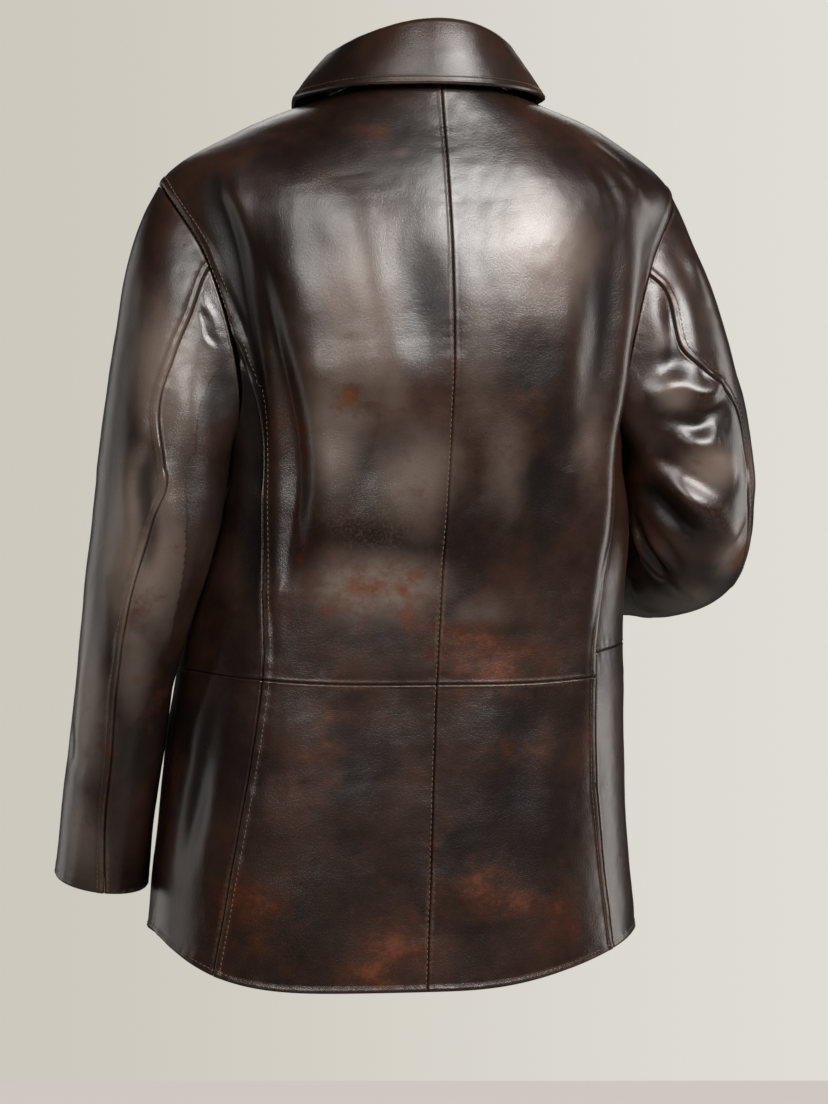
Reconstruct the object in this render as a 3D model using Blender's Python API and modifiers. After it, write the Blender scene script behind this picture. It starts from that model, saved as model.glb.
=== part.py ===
"""A leather coat that keeps the shape of being worn, with nobody in it.

The coat is cut and sewn from panels: two back panels, two side panels, the skirt panels below the waist
seam, two fronts and their skirt panels, a top sleeve and an under sleeve on each arm, an under collar, a
top collar and five buttons. Every panel of the body lies on one form, a stack of rounded sections from
the hem to the neckline, so that panels meet along their seams. A point on the form has a bearing in
degrees (0 is the coat's left side, 90 the centre back, 180 its right side and -90 the centre front) and a
level (0 is the hem, 10 the neckline).

Metres, +Z up. The front faces -Y and the coat's left side is +X. The origin is the base of the neck,
where the wearer's neck and shoulders hold the coat up.
"""

import math

import bpy
import numpy as np
from mathutils import Matrix, Vector

MM = 0.001
WALL = 2.0 * MM  # the leather and its backing
COLLAR_WALL = 1.4 * MM
SEAM_GAP = 0.3 * MM
SLEEVE_GAP = 0.6 * MM  # where a sleeve is eased into its armhole

HEM, WAIST, UNDERARM, SHOULDER_TIP, NECKLINE = 0, 2, 5, 8, 10  # levels

# One row for each level, in millimetres. The z columns are the ring's height at the back, sides and front;
# left, right, back and front are how far the inner face is from the centre; square is 2 for an ellipse, more
# for a box, and brow says how long the ring keeps the height of its back and front before it climbs to the
# side's.
BODY_COLUMNS = (
    "z_back", "z_left", "z_right", "z_front", "centre_x", "left", "right", "back", "front",
    "square_side", "square_end", "brow_left", "brow_right",
)  # fmt: skip
BODY_ROWS = (
    (-756, -712, -714, -742, 24, 206, 207, 134, 128, 2.4, 2.5, 10, 3.5),  # hem
    (-632, -602, -604, -618, 18, 201, 194, 125, 120, 2.4, 2.5, 8, 4),
    (-505, -494, -490, -494, 12, 193, 187, 117, 112, 2.4, 2.6, 6, 6),  # waist seam
    (-432, -425, -420, -415, 8, 182, 184, 115, 112, 2.4, 2.6, 4, 4),
    (-366, -364, -362, -350, 4, 169, 183, 120, 117, 2.4, 2.6, 2.5, 2.5),
    (-302, -312, -310, -292, 2, 165, 176, 127, 123, 2.3, 2.5, 2, 2),  # underarm
    (-236, -240, -240, -228, 0, 184, 188, 131, 120, 2.2, 2.4, 2, 2),
    (-162, -150, -150, -165, 0, 209, 210, 125, 106, 2.0, 2.3, 2, 2),
    (-94, -88, -86, -116, 0, 222, 220, 110, 87, 1.8, 2.2, 2, 2),  # shoulder tip
    (-42, -44, -38, -94, 0, 158, 160, 93, 73, 1.8, 2.1, 2, 2),
    (0, -10, -10, -78, 0, 76, 78, 80, 62, 2.0, 2.0, 2, 2),  # neckline
)
SIDE_WAIST = {"left": 2.0, "right": 2.22}  # the level of the waist seam on each side panel

# The armhole is an oval on the form, from the underarm to the shoulder tip. Its own angle is 0 at the tip,
# 90 at the back, 180 under the arm and 270 at the front, and the panels round it share points every few
# degrees.
ARMHOLE = {"back": 18.5, "front": 22.0, "skew": 0.45, "step": 15}
PRINCESS_JOIN, SIDE_JOIN = 90, 225  # where the two seams of the side panel meet the armhole

# The bearing of each long seam, on the left half: level, bearing.
PRINCESS_SEAM = (
    (0, 28.0), (1, 31.0), (2, 33.0), (3, 30.0), (4, 27.0), (5, 25.2), (5.7, 23.6), (6.15, 21.3),
)  # fmt: skip
SIDE_SEAM = ((0, -27.0), (2, -25.0), (4, -22.5))
FRONT_LAP = 18 * MM  # how far each front runs past the centre
LAP_ENDS = (8.4, 8.9, 9.5)  # levels: the lap narrows away between the first two, its rise by the third
LAP_RISE = 3.0 * MM  # how far the right front stands off the left one where it laps
LAP_BLEND = (225, 255)  # the bearings between which the right front rises to that

# The largest folds of the body: where each one's crest runs, its width in degrees and its height in
# millimetres, negative for a valley.
FOLD_COLUMNS = ("top_level", "top", "middle", "low", "low_level", "width", "height")
FOLD_ROWS = (
    (8.0, 157.0, 147.5, 144.0, 1.2, 5.5, 8.0),
    (7.7, 169.0, 160.0, 155.5, 3.0, 6.0, -7.0),
    (7.7, 20.0, 35.0, 36.0, 3.0, 5.0, -10.0),
    (7.6, 36.0, 48.0, 47.0, 2.2, 6.0, 5.0),
)

# The middle of each sleeve at the rings below its cap, its half sizes outwards from the body and front to
# back, how far the ring turns its back towards the body, and the angle of its back seam.
SLEEVE_COLUMNS = ("x", "y", "z", "out", "deep", "twist", "seam")
SLEEVE_ROWS = {
    "left": (
        (223.5, 9, -330, 50.5, 61, 24, 54),
        (229.5, 12, -378, 44.5, 61, 28, 40),
        (243, 6, -440, 42, 55, 20, 46),
        (253, -6, -508, 38.5, 51, 8, 63),
        (258, -17, -560, 37.5, 50, 4, 71),
        (262.5, -28, -612, 37, 50, 0, 77),
        (267, -40, -672, 37, 49, 0, 86),
    ),
    "right": (
        (-234.5, 10, -322, 55.5, 58, 0, 42),
        (-238, 10, -346, 55, 56, 0, 45),
        (-240.5, 2, -374, 54.5, 53, 0, 44),
        (-240, -19, -395, 53, 50, 0, 42),
        (-233, -48, -403, 50, 48, 0, 39),
        (-215, -102, -404, 48, 46, 0, 36),
        (-185, -158, -405, 46, 45, 0, 33),
        (-146, -216, -408, 45, 45, 0, 30),
    ),
}
SLEEVE_SEAM_BACK, SLEEVE_SEAM_FRONT = 75, 240  # where the sleeve's seams meet the armhole
# The angle of each back seam on the cap: step from the armhole at -1 to the first ring at 0, angle.
CAP_SEAM = {
    "left": ((-0.7, 72), (-0.45, 60), (-0.2, 47)),
    "right": ((-0.8, 71), (-0.6, 78), (-0.4, 66), (-0.2, 46)),
}
CAP_DIRECTION = (0.5, 0.22, -0.84)  # how a sleeve leaves the armhole: outwards, backwards at its back, and up
CAP_PULL = (0.85, 0.95)  # how strongly a cap line keeps its direction at the armhole, and at the first ring
SLEEVE_RADIUS = 35 * MM  # the least that a sleeve's seam allowance is worked out on
CAP_ROWS = 5
SKIRT_ROWS, BODICE_ROWS, YOKE_ROWS = 6, 8, 4
BACK_COLUMNS, FRONT_COLUMNS = 14, 7

# The collar's measures at the back, side and front. Its two layers turn over a core line that runs up the
# stand to the crown, and down the fall to an edge that lies over the form: at a level, and lifted off it.
# Millimetres.
COLLAR = {
    "stand": (49, 38, 30),
    "lean": (5, 3, 4),
    "edge_level": (9.74, 9.7, 8.45),
    "edge_lift": (9, 7, 7),
    "point_spread": 15,
    "roll": 4.5,
    "foot": 1.4,
    "end": 8.0,
    "columns": 21,
}

BUTTON = {"radius": 10 * MM, "thick": 3.6 * MM, "rim": 1.0 * MM, "sides": 20}
BUTTON_LEVELS = (7.4, 6.1, 4.8, 3.4, 2.0)

LEATHER = {"color": (0.045, 0.028, 0.022, 1), "roughness": 0.38, "metallic": 0.0}
HORN = {"color": (0.05, 0.03, 0.02, 1), "roughness": 0.3, "metallic": 0.0}


def clear_scene():
    for obj in list(bpy.data.objects):
        bpy.data.objects.remove(obj)


def new_material(name, look):
    material = bpy.data.materials.new(name)
    material.use_nodes = True
    shader = material.node_tree.nodes["Principled BSDF"]
    shader.inputs["Base Color"].default_value = look["color"]
    shader.inputs["Roughness"].default_value = look["roughness"]
    shader.inputs["Metallic"].default_value = look["metallic"]
    return material


def columns(names, rows):
    """A table's rows as one array for each named column."""
    return dict(zip(names, np.array(rows, float).T))


def smooth_through(knots, values, at):
    """Cubic curve through the knots, each knot's slope taken from its neighbours."""
    knots, values, at = (np.asarray(a, float) for a in (knots, values, at))
    slopes = np.gradient(values, knots)
    low = np.clip(np.searchsorted(knots, at, side="right") - 1, 0, len(knots) - 2)
    step = knots[low + 1] - knots[low]
    t = np.clip((at - knots[low]) / step, 0, 1)
    rise = values[low + 1] - values[low]
    start, end = slopes[low] * step, slopes[low + 1] * step
    return values[low] + t * start + t**2 * (3 * rise - 2 * start - end) + t**3 * (start + end - 2 * rise)


def ease(share):
    """From 0 to 1 with no corner at either end."""
    share = np.clip(share, 0, 1)
    return share**2 * (3 - 2 * share)


BODY = columns(BODY_COLUMNS, BODY_ROWS)
LEVELS = np.arange(len(BODY_ROWS))
FOLDS = [dict(zip(FOLD_COLUMNS, row)) for row in FOLD_ROWS]


def fold_height(bearing, level):
    """How far the folds lift or sink the form, in millimetres. A fold fades out at its two ends."""
    total = np.zeros(np.broadcast(bearing, level).shape)
    for fold in FOLDS:
        t = (fold["top_level"] - level) / (fold["top_level"] - fold["low_level"])
        crest = fold["top"] + t * (4 * fold["middle"] - 3 * fold["top"] - fold["low"])
        crest = crest + 2 * t**2 * (fold["top"] + fold["low"] - 2 * fold["middle"])
        fade = np.sin(np.pi * np.clip(t, 0, 1)) ** 0.8
        total = total + fold["height"] * fade * np.exp(-(((bearing - crest) / fold["width"]) ** 2))
    return total


def form(bearing, level):
    """The inner face of the coat's body, in metres."""
    bearing, level = np.broadcast_arrays(np.asarray(bearing, float), np.asarray(level, float))
    ring = {name: smooth_through(LEVELS, values, level) for name, values in BODY.items()}
    across, along = np.cos(np.radians(bearing)), np.sin(np.radians(bearing))
    half_width = np.where(across >= 0, ring["left"], ring["right"])
    half_depth = np.where(along >= 0, ring["back"], ring["front"])
    square = ring["square_side"] * across**2 + ring["square_end"] * along**2
    brow = np.where(across >= 0, ring["brow_left"], ring["brow_right"])
    reach = (np.abs(across) / half_width) ** square + (np.abs(along) / half_depth) ** square
    reach = reach ** (-1 / square) + fold_height(bearing, level)
    side_z = np.where(across >= 0, ring["z_left"], ring["z_right"])
    end_z = np.where(along >= 0, ring["z_back"], ring["z_front"])
    z = end_z + (side_z - end_z) * np.abs(across) ** brow
    return np.stack([ring["centre_x"] + reach * across, reach * along, z], axis=-1) * MM


def surface_normal(surface, first, second, lowest, highest):
    """Unit normal of a surface of two parameters, from its slopes; the second stays within its ends."""
    turn, rise = 0.5, 0.02
    second = np.clip(second, lowest + rise, highest - rise)
    slope_first = surface(first + turn, second) - surface(first - turn, second)
    slope_second = surface(first, second + rise) - surface(first, second - rise)
    normal = np.cross(slope_first, slope_second)
    return normal / np.linalg.norm(normal, axis=-1, keepdims=True)


def form_normal(bearing, level):
    """Unit outward normal of the form."""
    return surface_normal(form, bearing, level, HEM, NECKLINE)


def degrees_of(distance, bearing, level):
    """The change of bearing that moves a point that far along its ring."""
    per_degree = np.linalg.norm(form(bearing + 0.5, level) - form(bearing - 0.5, level), axis=-1)
    return distance / per_degree


def levels_of(distance, bearing, level):
    """The change of level that moves a point that far up the form."""
    per_level = np.linalg.norm(form(bearing, level + 0.1) - form(bearing, level - 0.1), axis=-1) / 0.2
    return distance / per_level


def armhole(angle):
    """Bearing and level of the armhole's edge on the left half, at its own angle in degrees."""
    turn = np.radians(angle)
    reach = np.where(np.sin(turn) >= 0, ARMHOLE["back"], ARMHOLE["front"])
    bearing = reach * np.sin(turn) * (1 - ARMHOLE["skew"] * np.cos(turn))
    middle, half = (SHOULDER_TIP + UNDERARM) / 2, (SHOULDER_TIP - UNDERARM) / 2
    return bearing, middle + half * np.cos(turn)


def armhole_steps(first, last):
    """The armhole's own angles between two of them, at the steps that the panels and the sleeve share."""
    return np.linspace(first, last, round(abs(last - first) / ARMHOLE["step"]) + 1)


def on_side(bearing, side):
    """A bearing of the left half, or its mirror on the right half."""
    return bearing if side == "left" else 180 - bearing


def seam_bearing(seam, join, level):
    """A long seam's bearing at a level, up to where it meets the armhole."""
    bearing, top = armhole(join)
    knots = np.array([*seam, (float(top), float(bearing))])
    return smooth_through(knots[:, 0], knots[:, 1], np.minimum(level, top))


def princess(level):
    return seam_bearing(PRINCESS_SEAM, PRINCESS_JOIN, level)


def side_seam(level):
    return seam_bearing(SIDE_SEAM, SIDE_JOIN, level)


def wall_object(name, inner, outer, material):
    """A closed wall between two grids of points: the two faces, and a strip round their border.

    Both faces split their cells along the same diagonal, so the wall keeps its thickness where it twists.
    """
    rows, cols = inner.shape[:2]
    index = np.arange(rows * cols).reshape(rows, cols)
    corners = [index[:-1, :-1], index[:-1, 1:], index[1:, 1:], index[1:, :-1]]
    quads = np.stack(corners, axis=-1).reshape(-1, 4)
    border = np.concatenate([index[0, :-1], index[:-1, -1], index[-1, :0:-1], index[:0:-1, 0]])
    ahead = np.roll(border, -1)
    below = rows * cols
    strip = np.stack([border, border + below, ahead + below, ahead], axis=-1)
    quads = np.concatenate([quads, quads[:, [2, 1, 0, 3]] + below, strip])
    faces = np.concatenate([quads[:, [0, 1, 2]], quads[:, [0, 2, 3]]])
    across, up = inner[0, 1] - inner[0, 0], inner[1, 0] - inner[0, 0]
    if np.cross(across, up) @ (outer[0, 0] - inner[0, 0]) > 0:
        faces = faces[:, ::-1]
    mesh = bpy.data.meshes.new(name)
    mesh.from_pydata(np.concatenate([inner, outer]).reshape(-1, 3).tolist(), [], faces.tolist())
    mesh.shade_smooth()
    mesh.set_sharp_from_angle(angle=math.radians(50))
    mesh.materials.append(material)
    obj = bpy.data.objects.new(name, mesh)
    COAT.objects.link(obj)
    return obj


def body_wall(name, bearing, level, material, lift=0.0):
    """A wall on the form, from grids of bearings and levels, lifted off the form where it laps."""
    normal = form_normal(bearing, level)
    inner = form(bearing, level) + normal * np.asarray(lift)[..., None]
    return wall_object(name, inner, inner + normal * WALL, material)


def between_seams(side, outer, inner, level, share):
    """Grids of bearings and levels between two edges, given as bearings of the left half at each level.

    Each edge stops half a seam gap short of its seam.
    """
    level = np.broadcast_to(level if level.ndim == 2 else level[:, None], (len(level), len(share)))
    outer, inner = (np.broadcast_to(edge, level.shape[:1])[:, None] for edge in (outer, inner))
    toward = np.sign(inner - outer)
    outer = outer + toward * degrees_of(SEAM_GAP / 2, on_side(outer, side), level[:, :1])
    inner = inner - toward * degrees_of(SEAM_GAP / 2, on_side(inner, side), level[:, :1])
    return on_side(outer + (inner - outer) * share, side), level


def seam_levels(side, top):
    """The levels that neighbouring panels share along a long seam, from the hem to the armhole."""
    skirt = np.linspace(HEM, WAIST, SKIRT_ROWS + 1)
    upper = WAIST + (top - WAIST) * np.linspace(0, 1, BODICE_ROWS + 1)
    return np.unique([*skirt, *upper, SIDE_WAIST[side]])


def split_at(levels, waist):
    """The levels below a waist seam and those above it, half a seam gap short of it on either side."""
    gap = levels_of(SEAM_GAP / 2, 90, WAIST)
    below, above = levels[levels <= waist].copy(), levels[levels >= waist].copy()
    below[-1] -= gap
    above[0] += gap
    return below, above


def make_back(side, material):
    """Upper back, from the waist seam to the shoulder and neckline, and the skirt panel below it."""
    arm_bearing, arm_level = armhole(armhole_steps(PRINCESS_JOIN, 0))
    skirt, low = split_at(seam_levels(side, arm_level[0]), WAIST)
    yoke = np.linspace(SHOULDER_TIP, NECKLINE, YOKE_ROWS + 1)[1:]
    level = np.concatenate([low[:-1], arm_level, yoke])
    edge = np.concatenate([princess(low[:-1]), arm_bearing, np.zeros(len(yoke))])
    share = np.linspace(0, 1, BACK_COLUMNS)
    body_wall(f"back_{side}", *between_seams(side, edge, 90.0, level, share), material)
    body_wall(f"back_skirt_{side}", *between_seams(side, princess(skirt), 90.0, skirt, share), material)


def make_side(side, material):
    """Side panel under the arm, its top cut to the armhole, and the skirt panel below it."""
    bearing, top = armhole(armhole_steps(SIDE_JOIN, PRINCESS_JOIN))
    share = (bearing - side_seam(top)) / (princess(top) - side_seam(top))
    back_top = top[-1]
    skirt, upper = split_at(seam_levels(side, back_top), SIDE_WAIST[side])
    rise = (upper - upper[0]) / (back_top - upper[0])
    level = upper[0] + (top - upper[0]) * rise[:, None]
    front, back = side_seam(level), princess(level)
    front = front + degrees_of(SEAM_GAP / 2, on_side(front, side), level)
    back = back - degrees_of(SEAM_GAP / 2, on_side(back, side), level)
    body_wall(f"side_{side}", on_side(front + (back - front) * share, side), level, material)
    grid = between_seams(side, side_seam(skirt), princess(skirt), skirt, share)
    body_wall(f"side_skirt_{side}", *grid, material)


def make_front(side, material):
    """One front and the skirt panel below it, out to an edge past the centre. The right laps the left.

    The waist seam leaves the side seam at the side panel's level and meets the back's level at the centre.
    """
    arm_bearing, arm_level = armhole(armhole_steps(SIDE_JOIN, 360))
    back_top = armhole(PRINCESS_JOIN)[1]
    skirt, upper = split_at(seam_levels(side, back_top), SIDE_WAIST[side])
    rise = (upper - upper[0]) / (back_top - upper[0])
    low = (upper[0] + (arm_level[0] - upper[0]) * rise)[:-1]
    yoke = np.linspace(SHOULDER_TIP, NECKLINE, YOKE_ROWS + 1)[1:]
    share = np.linspace(0, 1, FRONT_COLUMNS)
    drop = (WAIST - SIDE_WAIST[side]) * share
    bodice = np.concatenate([low, arm_level, yoke])
    fade = np.clip((arm_level[0] - bodice) / (arm_level[0] - low[0]), 0, 1)
    edge = np.concatenate([side_seam(low), arm_bearing, np.zeros(len(yoke))])
    lap_end, rise_start, rise_end = LAP_ENDS
    for name, side_level, outer, shift in (
        (f"front_{side}", bodice, edge, fade),
        (f"front_skirt_{side}", skirt, side_seam(skirt), skirt / skirt[-1]),
    ):
        lap = FRONT_LAP * ease((rise_start - side_level) / (rise_start - lap_end))
        lap = degrees_of(lap, -90, side_level)
        level = side_level[:, None] + drop * shift[:, None]
        bearing, level = between_seams(side, outer, -90 - lap, level, share)
        lift = 0.0
        if side == "right":
            toward_lap = ease((bearing - LAP_BLEND[0]) / (LAP_BLEND[1] - LAP_BLEND[0]))
            lift = LAP_RISE * toward_lap * ease((rise_end - level) / (rise_end - rise_start))
        body_wall(name, bearing, level, material, lift)


def armhole_place(side, angle):
    """Bearing and level of the armhole's edge on either side."""
    bearing, level = armhole(angle)
    return on_side(bearing, side), level


def armhole_point(side, angle):
    return form(*armhole_place(side, angle))


def sleeve_table(side):
    """The sleeve's rings as arrays: centre, size, seam, and the directions along, outward and backward."""
    table = columns(SLEEVE_COLUMNS, SLEEVE_ROWS[side])
    middle = np.stack([table[axis] for axis in "xyz"], axis=-1) * MM
    along = np.gradient(middle, axis=0)
    along = along / np.linalg.norm(along, axis=-1, keepdims=True)
    outward = np.zeros_like(along)
    direction = np.array([1.0 if side == "left" else -1.0, 0, 0])
    for ring, axis in enumerate(along):
        direction = direction - axis * (direction @ axis)
        direction = direction / np.linalg.norm(direction)
        outward[ring] = direction
    backward = np.cross(along, outward) * (-1 if side == "left" else 1)
    twist = np.radians(table["twist"])[:, None]
    outward, backward = (
        outward * np.cos(twist) + backward * np.sin(twist),
        backward * np.cos(twist) - outward * np.sin(twist),
    )
    return {
        "middle": middle, "along": along, "outward": outward, "backward": backward,
        "out": table["out"] * MM, "deep": table["deep"] * MM, "seam": table["seam"],
    }  # fmt: skip


def tube_point(rings, angle, step):
    """A point of the tube below the cap, at its own angle and at a step along the rings."""
    knots = np.arange(len(rings["seam"]))

    def at(name):
        values = rings[name]
        if values.ndim == 1:
            return smooth_through(knots, values, step)[..., None]
        return np.stack([smooth_through(knots, values[:, axis], step) for axis in range(3)], axis=-1)

    turn = np.radians(angle)[..., None]
    offset = at("out") * np.cos(turn) * at("outward") + at("deep") * np.sin(turn) * at("backward")
    return at("middle") + offset


def wall_start(edge, normal, inward, leave):
    """Where a sleeve's inner face starts, so that its wall clears the wall of the panel that it is sewn to.

    edge is the armhole's inner edge, normal the panel's, inward the way from the edge into the armhole's
    opening, and leave the sleeve's own direction. A sleeve that folds back over the panel starts on it.
    """
    rise = (leave * normal).sum(-1, keepdims=True)
    ahead = (leave * inward).sum(-1, keepdims=True)
    away = inward * ahead + normal * rise
    reach = np.linalg.norm(away, axis=-1, keepdims=True)
    rise, ahead = np.clip(rise / reach, 0, 0.999), ahead / reach
    flat = np.sqrt(1 - rise**2)
    over = (WALL * (1 - flat) + SLEEVE_GAP) / np.maximum(rise, 0.001)
    beside = (WALL * rise + SLEEVE_GAP) / flat
    forward = edge + away / reach * np.maximum((WALL + SLEEVE_GAP) * rise, np.minimum(over, beside))
    folded = edge + normal * (WALL + SLEEVE_GAP + WALL * np.clip(-ahead, 0, 1))
    return np.where(ahead > 0, forward, folded)


def sleeve_form(side, angle, step):
    """A sleeve's inner face. Steps run from -1 at the armhole to 0 at the first ring, and on to the cuff."""
    angle, step = np.broadcast_arrays(np.asarray(angle, float), np.asarray(step, float))
    rings = sleeve_table(side)
    mirror = np.array([1 if side == "left" else -1, 1, 1])
    back = np.sin(np.radians(angle))
    out_way, back_way, up_way = CAP_DIRECTION
    leave = np.stack([np.full_like(back, out_way), back_way * back, np.full_like(back, up_way)], -1)
    leave = leave / np.linalg.norm(leave, axis=-1, keepdims=True) * mirror
    edge, normal = armhole_point(side, angle), form_normal(*armhole_place(side, angle))
    inward = np.cross(armhole_point(side, angle + 1) - armhole_point(side, angle - 1), normal)
    inward = inward / np.linalg.norm(inward, axis=-1, keepdims=True) * mirror[0]
    start = wall_start(edge, normal, inward, leave)
    end = tube_point(rings, angle, np.zeros_like(step))
    reach = np.linalg.norm(end - start, axis=-1, keepdims=True)
    pull_start, pull_end = leave * reach * CAP_PULL[0], rings["along"][0] * reach * CAP_PULL[1]
    t = np.clip(step + 1, 0, 1)[..., None]
    jump = end - start
    curve = t**2 * (3 * jump - 2 * pull_start - pull_end) + t**3 * (pull_start + pull_end - 2 * jump)
    cap = start + t * pull_start + curve
    return np.where(step[..., None] < 0, cap, tube_point(rings, angle, np.maximum(step, 0)))


def sleeve_back_seam(side, step):
    """The angle of the sleeve's back seam, from the armhole to the cuff."""
    seam = sleeve_table(side)["seam"]
    cap_steps, cap_angles = zip(*CAP_SEAM[side])
    knots = np.concatenate([[-1], cap_steps, np.arange(len(seam))])
    return smooth_through(knots, np.concatenate([[SLEEVE_SEAM_BACK], cap_angles, seam]), step)


def make_sleeve(side, material):
    """Top sleeve over the outside of the arm and under sleeve inside it, as walls on the sleeve's form."""
    last = len(SLEEVE_ROWS[side]) - 1
    step = np.concatenate([np.linspace(-1, 0, CAP_ROWS + 1)[:-1], np.arange(last + 1)])[:, None]
    back, front = sleeve_back_seam(side, step), np.full_like(step, SLEEVE_SEAM_FRONT)
    inset = math.degrees(0.5 * SEAM_GAP / SLEEVE_RADIUS)

    def surface(angle, along):
        return sleeve_form(side, angle, along)

    for piece, first, last_angle, low, high in (
        ("top", SLEEVE_SEAM_FRONT - 360, SLEEVE_SEAM_BACK, front - 360, back),
        ("under", SLEEVE_SEAM_BACK, SLEEVE_SEAM_FRONT, back, front),
    ):
        shared = armhole_steps(first, last_angle)
        share = (shared - first) / (last_angle - first)
        low, high = low + inset, high - inset
        angle = low + (high - low) * share
        inner = surface(angle, step)
        normal = surface_normal(surface, angle, np.broadcast_to(step, angle.shape), -1, last)
        normal = normal * (-1 if side == "left" else 1)
        wall_object(f"sleeve_{piece}_{side}", inner, inner + normal * WALL, material)


def collar_measure(name, bearing):
    """One of the collar's measures at a bearing: its values at the back, side and front, eased between."""
    back, side, front = COLLAR[name]
    along = np.sin(np.radians(bearing))
    return (side + (np.where(along > 0, back, front) - side) * along**2)[:, None]


def square_to(line, toward):
    """Unit vectors at right angles to a line, on the side that another vector points to."""
    line = line / np.linalg.norm(line, axis=-1, keepdims=True)
    across = toward - line * (toward * line).sum(-1, keepdims=True)
    return across / np.linalg.norm(across, axis=-1, keepdims=True)


def collar_layer(bearing, offset):
    """The collar's turned band, a distance off its core line: up the stand, over the top, down the fall."""
    roll = COLLAR["roll"] * MM
    neck = form(bearing, NECKLINE)
    along = form(bearing + 1, NECKLINE) - form(bearing - 1, NECKLINE)
    out = np.cross(along, [0, 0, 1.0])
    out = out / np.linalg.norm(out, axis=-1, keepdims=True)
    up = np.cross(out, along)
    up = up / np.linalg.norm(up, axis=-1, keepdims=True) + np.array([0, 0, 1.0])
    up = up / np.linalg.norm(up, axis=-1, keepdims=True)
    foot = neck + out * roll + up * (WALL + COLLAR["foot"] * MM)
    crown = neck + out * (roll - collar_measure("lean", bearing) * MM)
    crown = crown + up * (collar_measure("stand", bearing) * MM - roll)
    spread = COLLAR["point_spread"] * np.sign(np.cos(np.radians(bearing)))
    spread = spread * np.clip(-np.sin(np.radians(bearing)), 0, 1) ** 6
    edge_at, level = bearing + spread, collar_measure("edge_level", bearing)[:, 0]
    edge = form(edge_at, level) + form_normal(edge_at, level) * collar_measure("edge_lift", bearing) * MM
    stand_side, fall_side = square_to(crown - foot, -out), square_to(edge - crown, out + 0.5 * up)
    start, end = (
        np.arctan2((way * up).sum(-1), (way * out).sum(-1))[:, None] % (2 * np.pi)
        for way in (stand_side, fall_side)
    )
    rows = [foot + (crown - foot) * s + stand_side * offset for s in (0, 0.5)]
    for s in (0, 1 / 3, 2 / 3):
        turn = start + (end - start) * s
        rows.append(crown + (out * np.cos(turn) + up * np.sin(turn)) * offset)
    rows += [crown + (edge - crown) * s + fall_side * offset for s in (0, 1 / 3, 2 / 3, 1)]
    return np.stack(rows)


def make_collar(material):
    """Top collar, and the under collar folded inside it."""
    bearing = np.linspace(COLLAR["end"] - 90, 270 - COLLAR["end"], COLLAR["columns"])
    outer = COLLAR["roll"] * MM
    for name in ("collar_top", "collar_under"):
        inner = outer - COLLAR_WALL
        wall_object(name, collar_layer(bearing, inner), collar_layer(bearing, outer), material)
        outer = inner - SEAM_GAP


def make_buttons(material):
    """Round buttons down the centre front, standing on the right front."""
    for number, level in enumerate(BUTTON_LEVELS, 1):
        normal = Vector(form_normal(270.0, level))
        middle = Vector(form(270.0, level)) + normal * (LAP_RISE + WALL + SEAM_GAP + BUTTON["thick"] / 2)
        bpy.ops.mesh.primitive_cylinder_add(
            vertices=BUTTON["sides"], radius=BUTTON["radius"], depth=BUTTON["thick"]
        )
        button = bpy.context.object
        button.name = button.data.name = f"button_{number}"
        turned = normal.to_track_quat("Z", "Y").to_matrix().to_4x4()
        button.matrix_world = Matrix.Translation(middle) @ turned
        button.data.materials.append(material)
        bevel = button.modifiers.new("rim", "BEVEL")
        bevel.width = BUTTON["rim"]
        bevel.segments = 1
        bevel.limit_method = "ANGLE"
        for collection in list(button.users_collection):
            collection.objects.unlink(button)
        COAT.objects.link(button)


clear_scene()
COAT = bpy.data.collections.new("leather_coat")
bpy.context.scene.collection.children.link(COAT)
leather = new_material("leather", LEATHER)
horn = new_material("horn", HORN)
for side in ("left", "right"):
    make_back(side, leather)
    make_side(side, leather)
    make_front(side, leather)
    make_sleeve(side, leather)
make_collar(leather)
make_buttons(horn)
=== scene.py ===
import bpy
import numpy as np
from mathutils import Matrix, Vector
from mathutils.bvhtree import BVHTree


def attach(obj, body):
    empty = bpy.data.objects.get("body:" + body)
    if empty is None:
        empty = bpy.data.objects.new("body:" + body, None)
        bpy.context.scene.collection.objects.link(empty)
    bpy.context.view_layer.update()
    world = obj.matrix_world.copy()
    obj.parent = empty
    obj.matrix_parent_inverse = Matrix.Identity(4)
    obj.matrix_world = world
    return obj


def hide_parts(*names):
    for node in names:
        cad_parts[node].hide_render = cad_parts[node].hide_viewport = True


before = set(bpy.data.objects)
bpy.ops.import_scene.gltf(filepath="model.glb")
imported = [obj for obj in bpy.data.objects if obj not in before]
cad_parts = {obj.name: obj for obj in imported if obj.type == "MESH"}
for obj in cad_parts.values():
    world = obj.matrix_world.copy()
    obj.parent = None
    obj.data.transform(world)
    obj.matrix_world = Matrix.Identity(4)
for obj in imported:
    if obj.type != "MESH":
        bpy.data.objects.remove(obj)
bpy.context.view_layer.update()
mm = 0.001
wall = 2.0  # the solids' wall, whose outer face the leather lies on
seamGap = 0.08
hem, waist, underarm, shoulderTip, neckline = 0, 2, 5, 8, 10  # levels of the body's form

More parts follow.
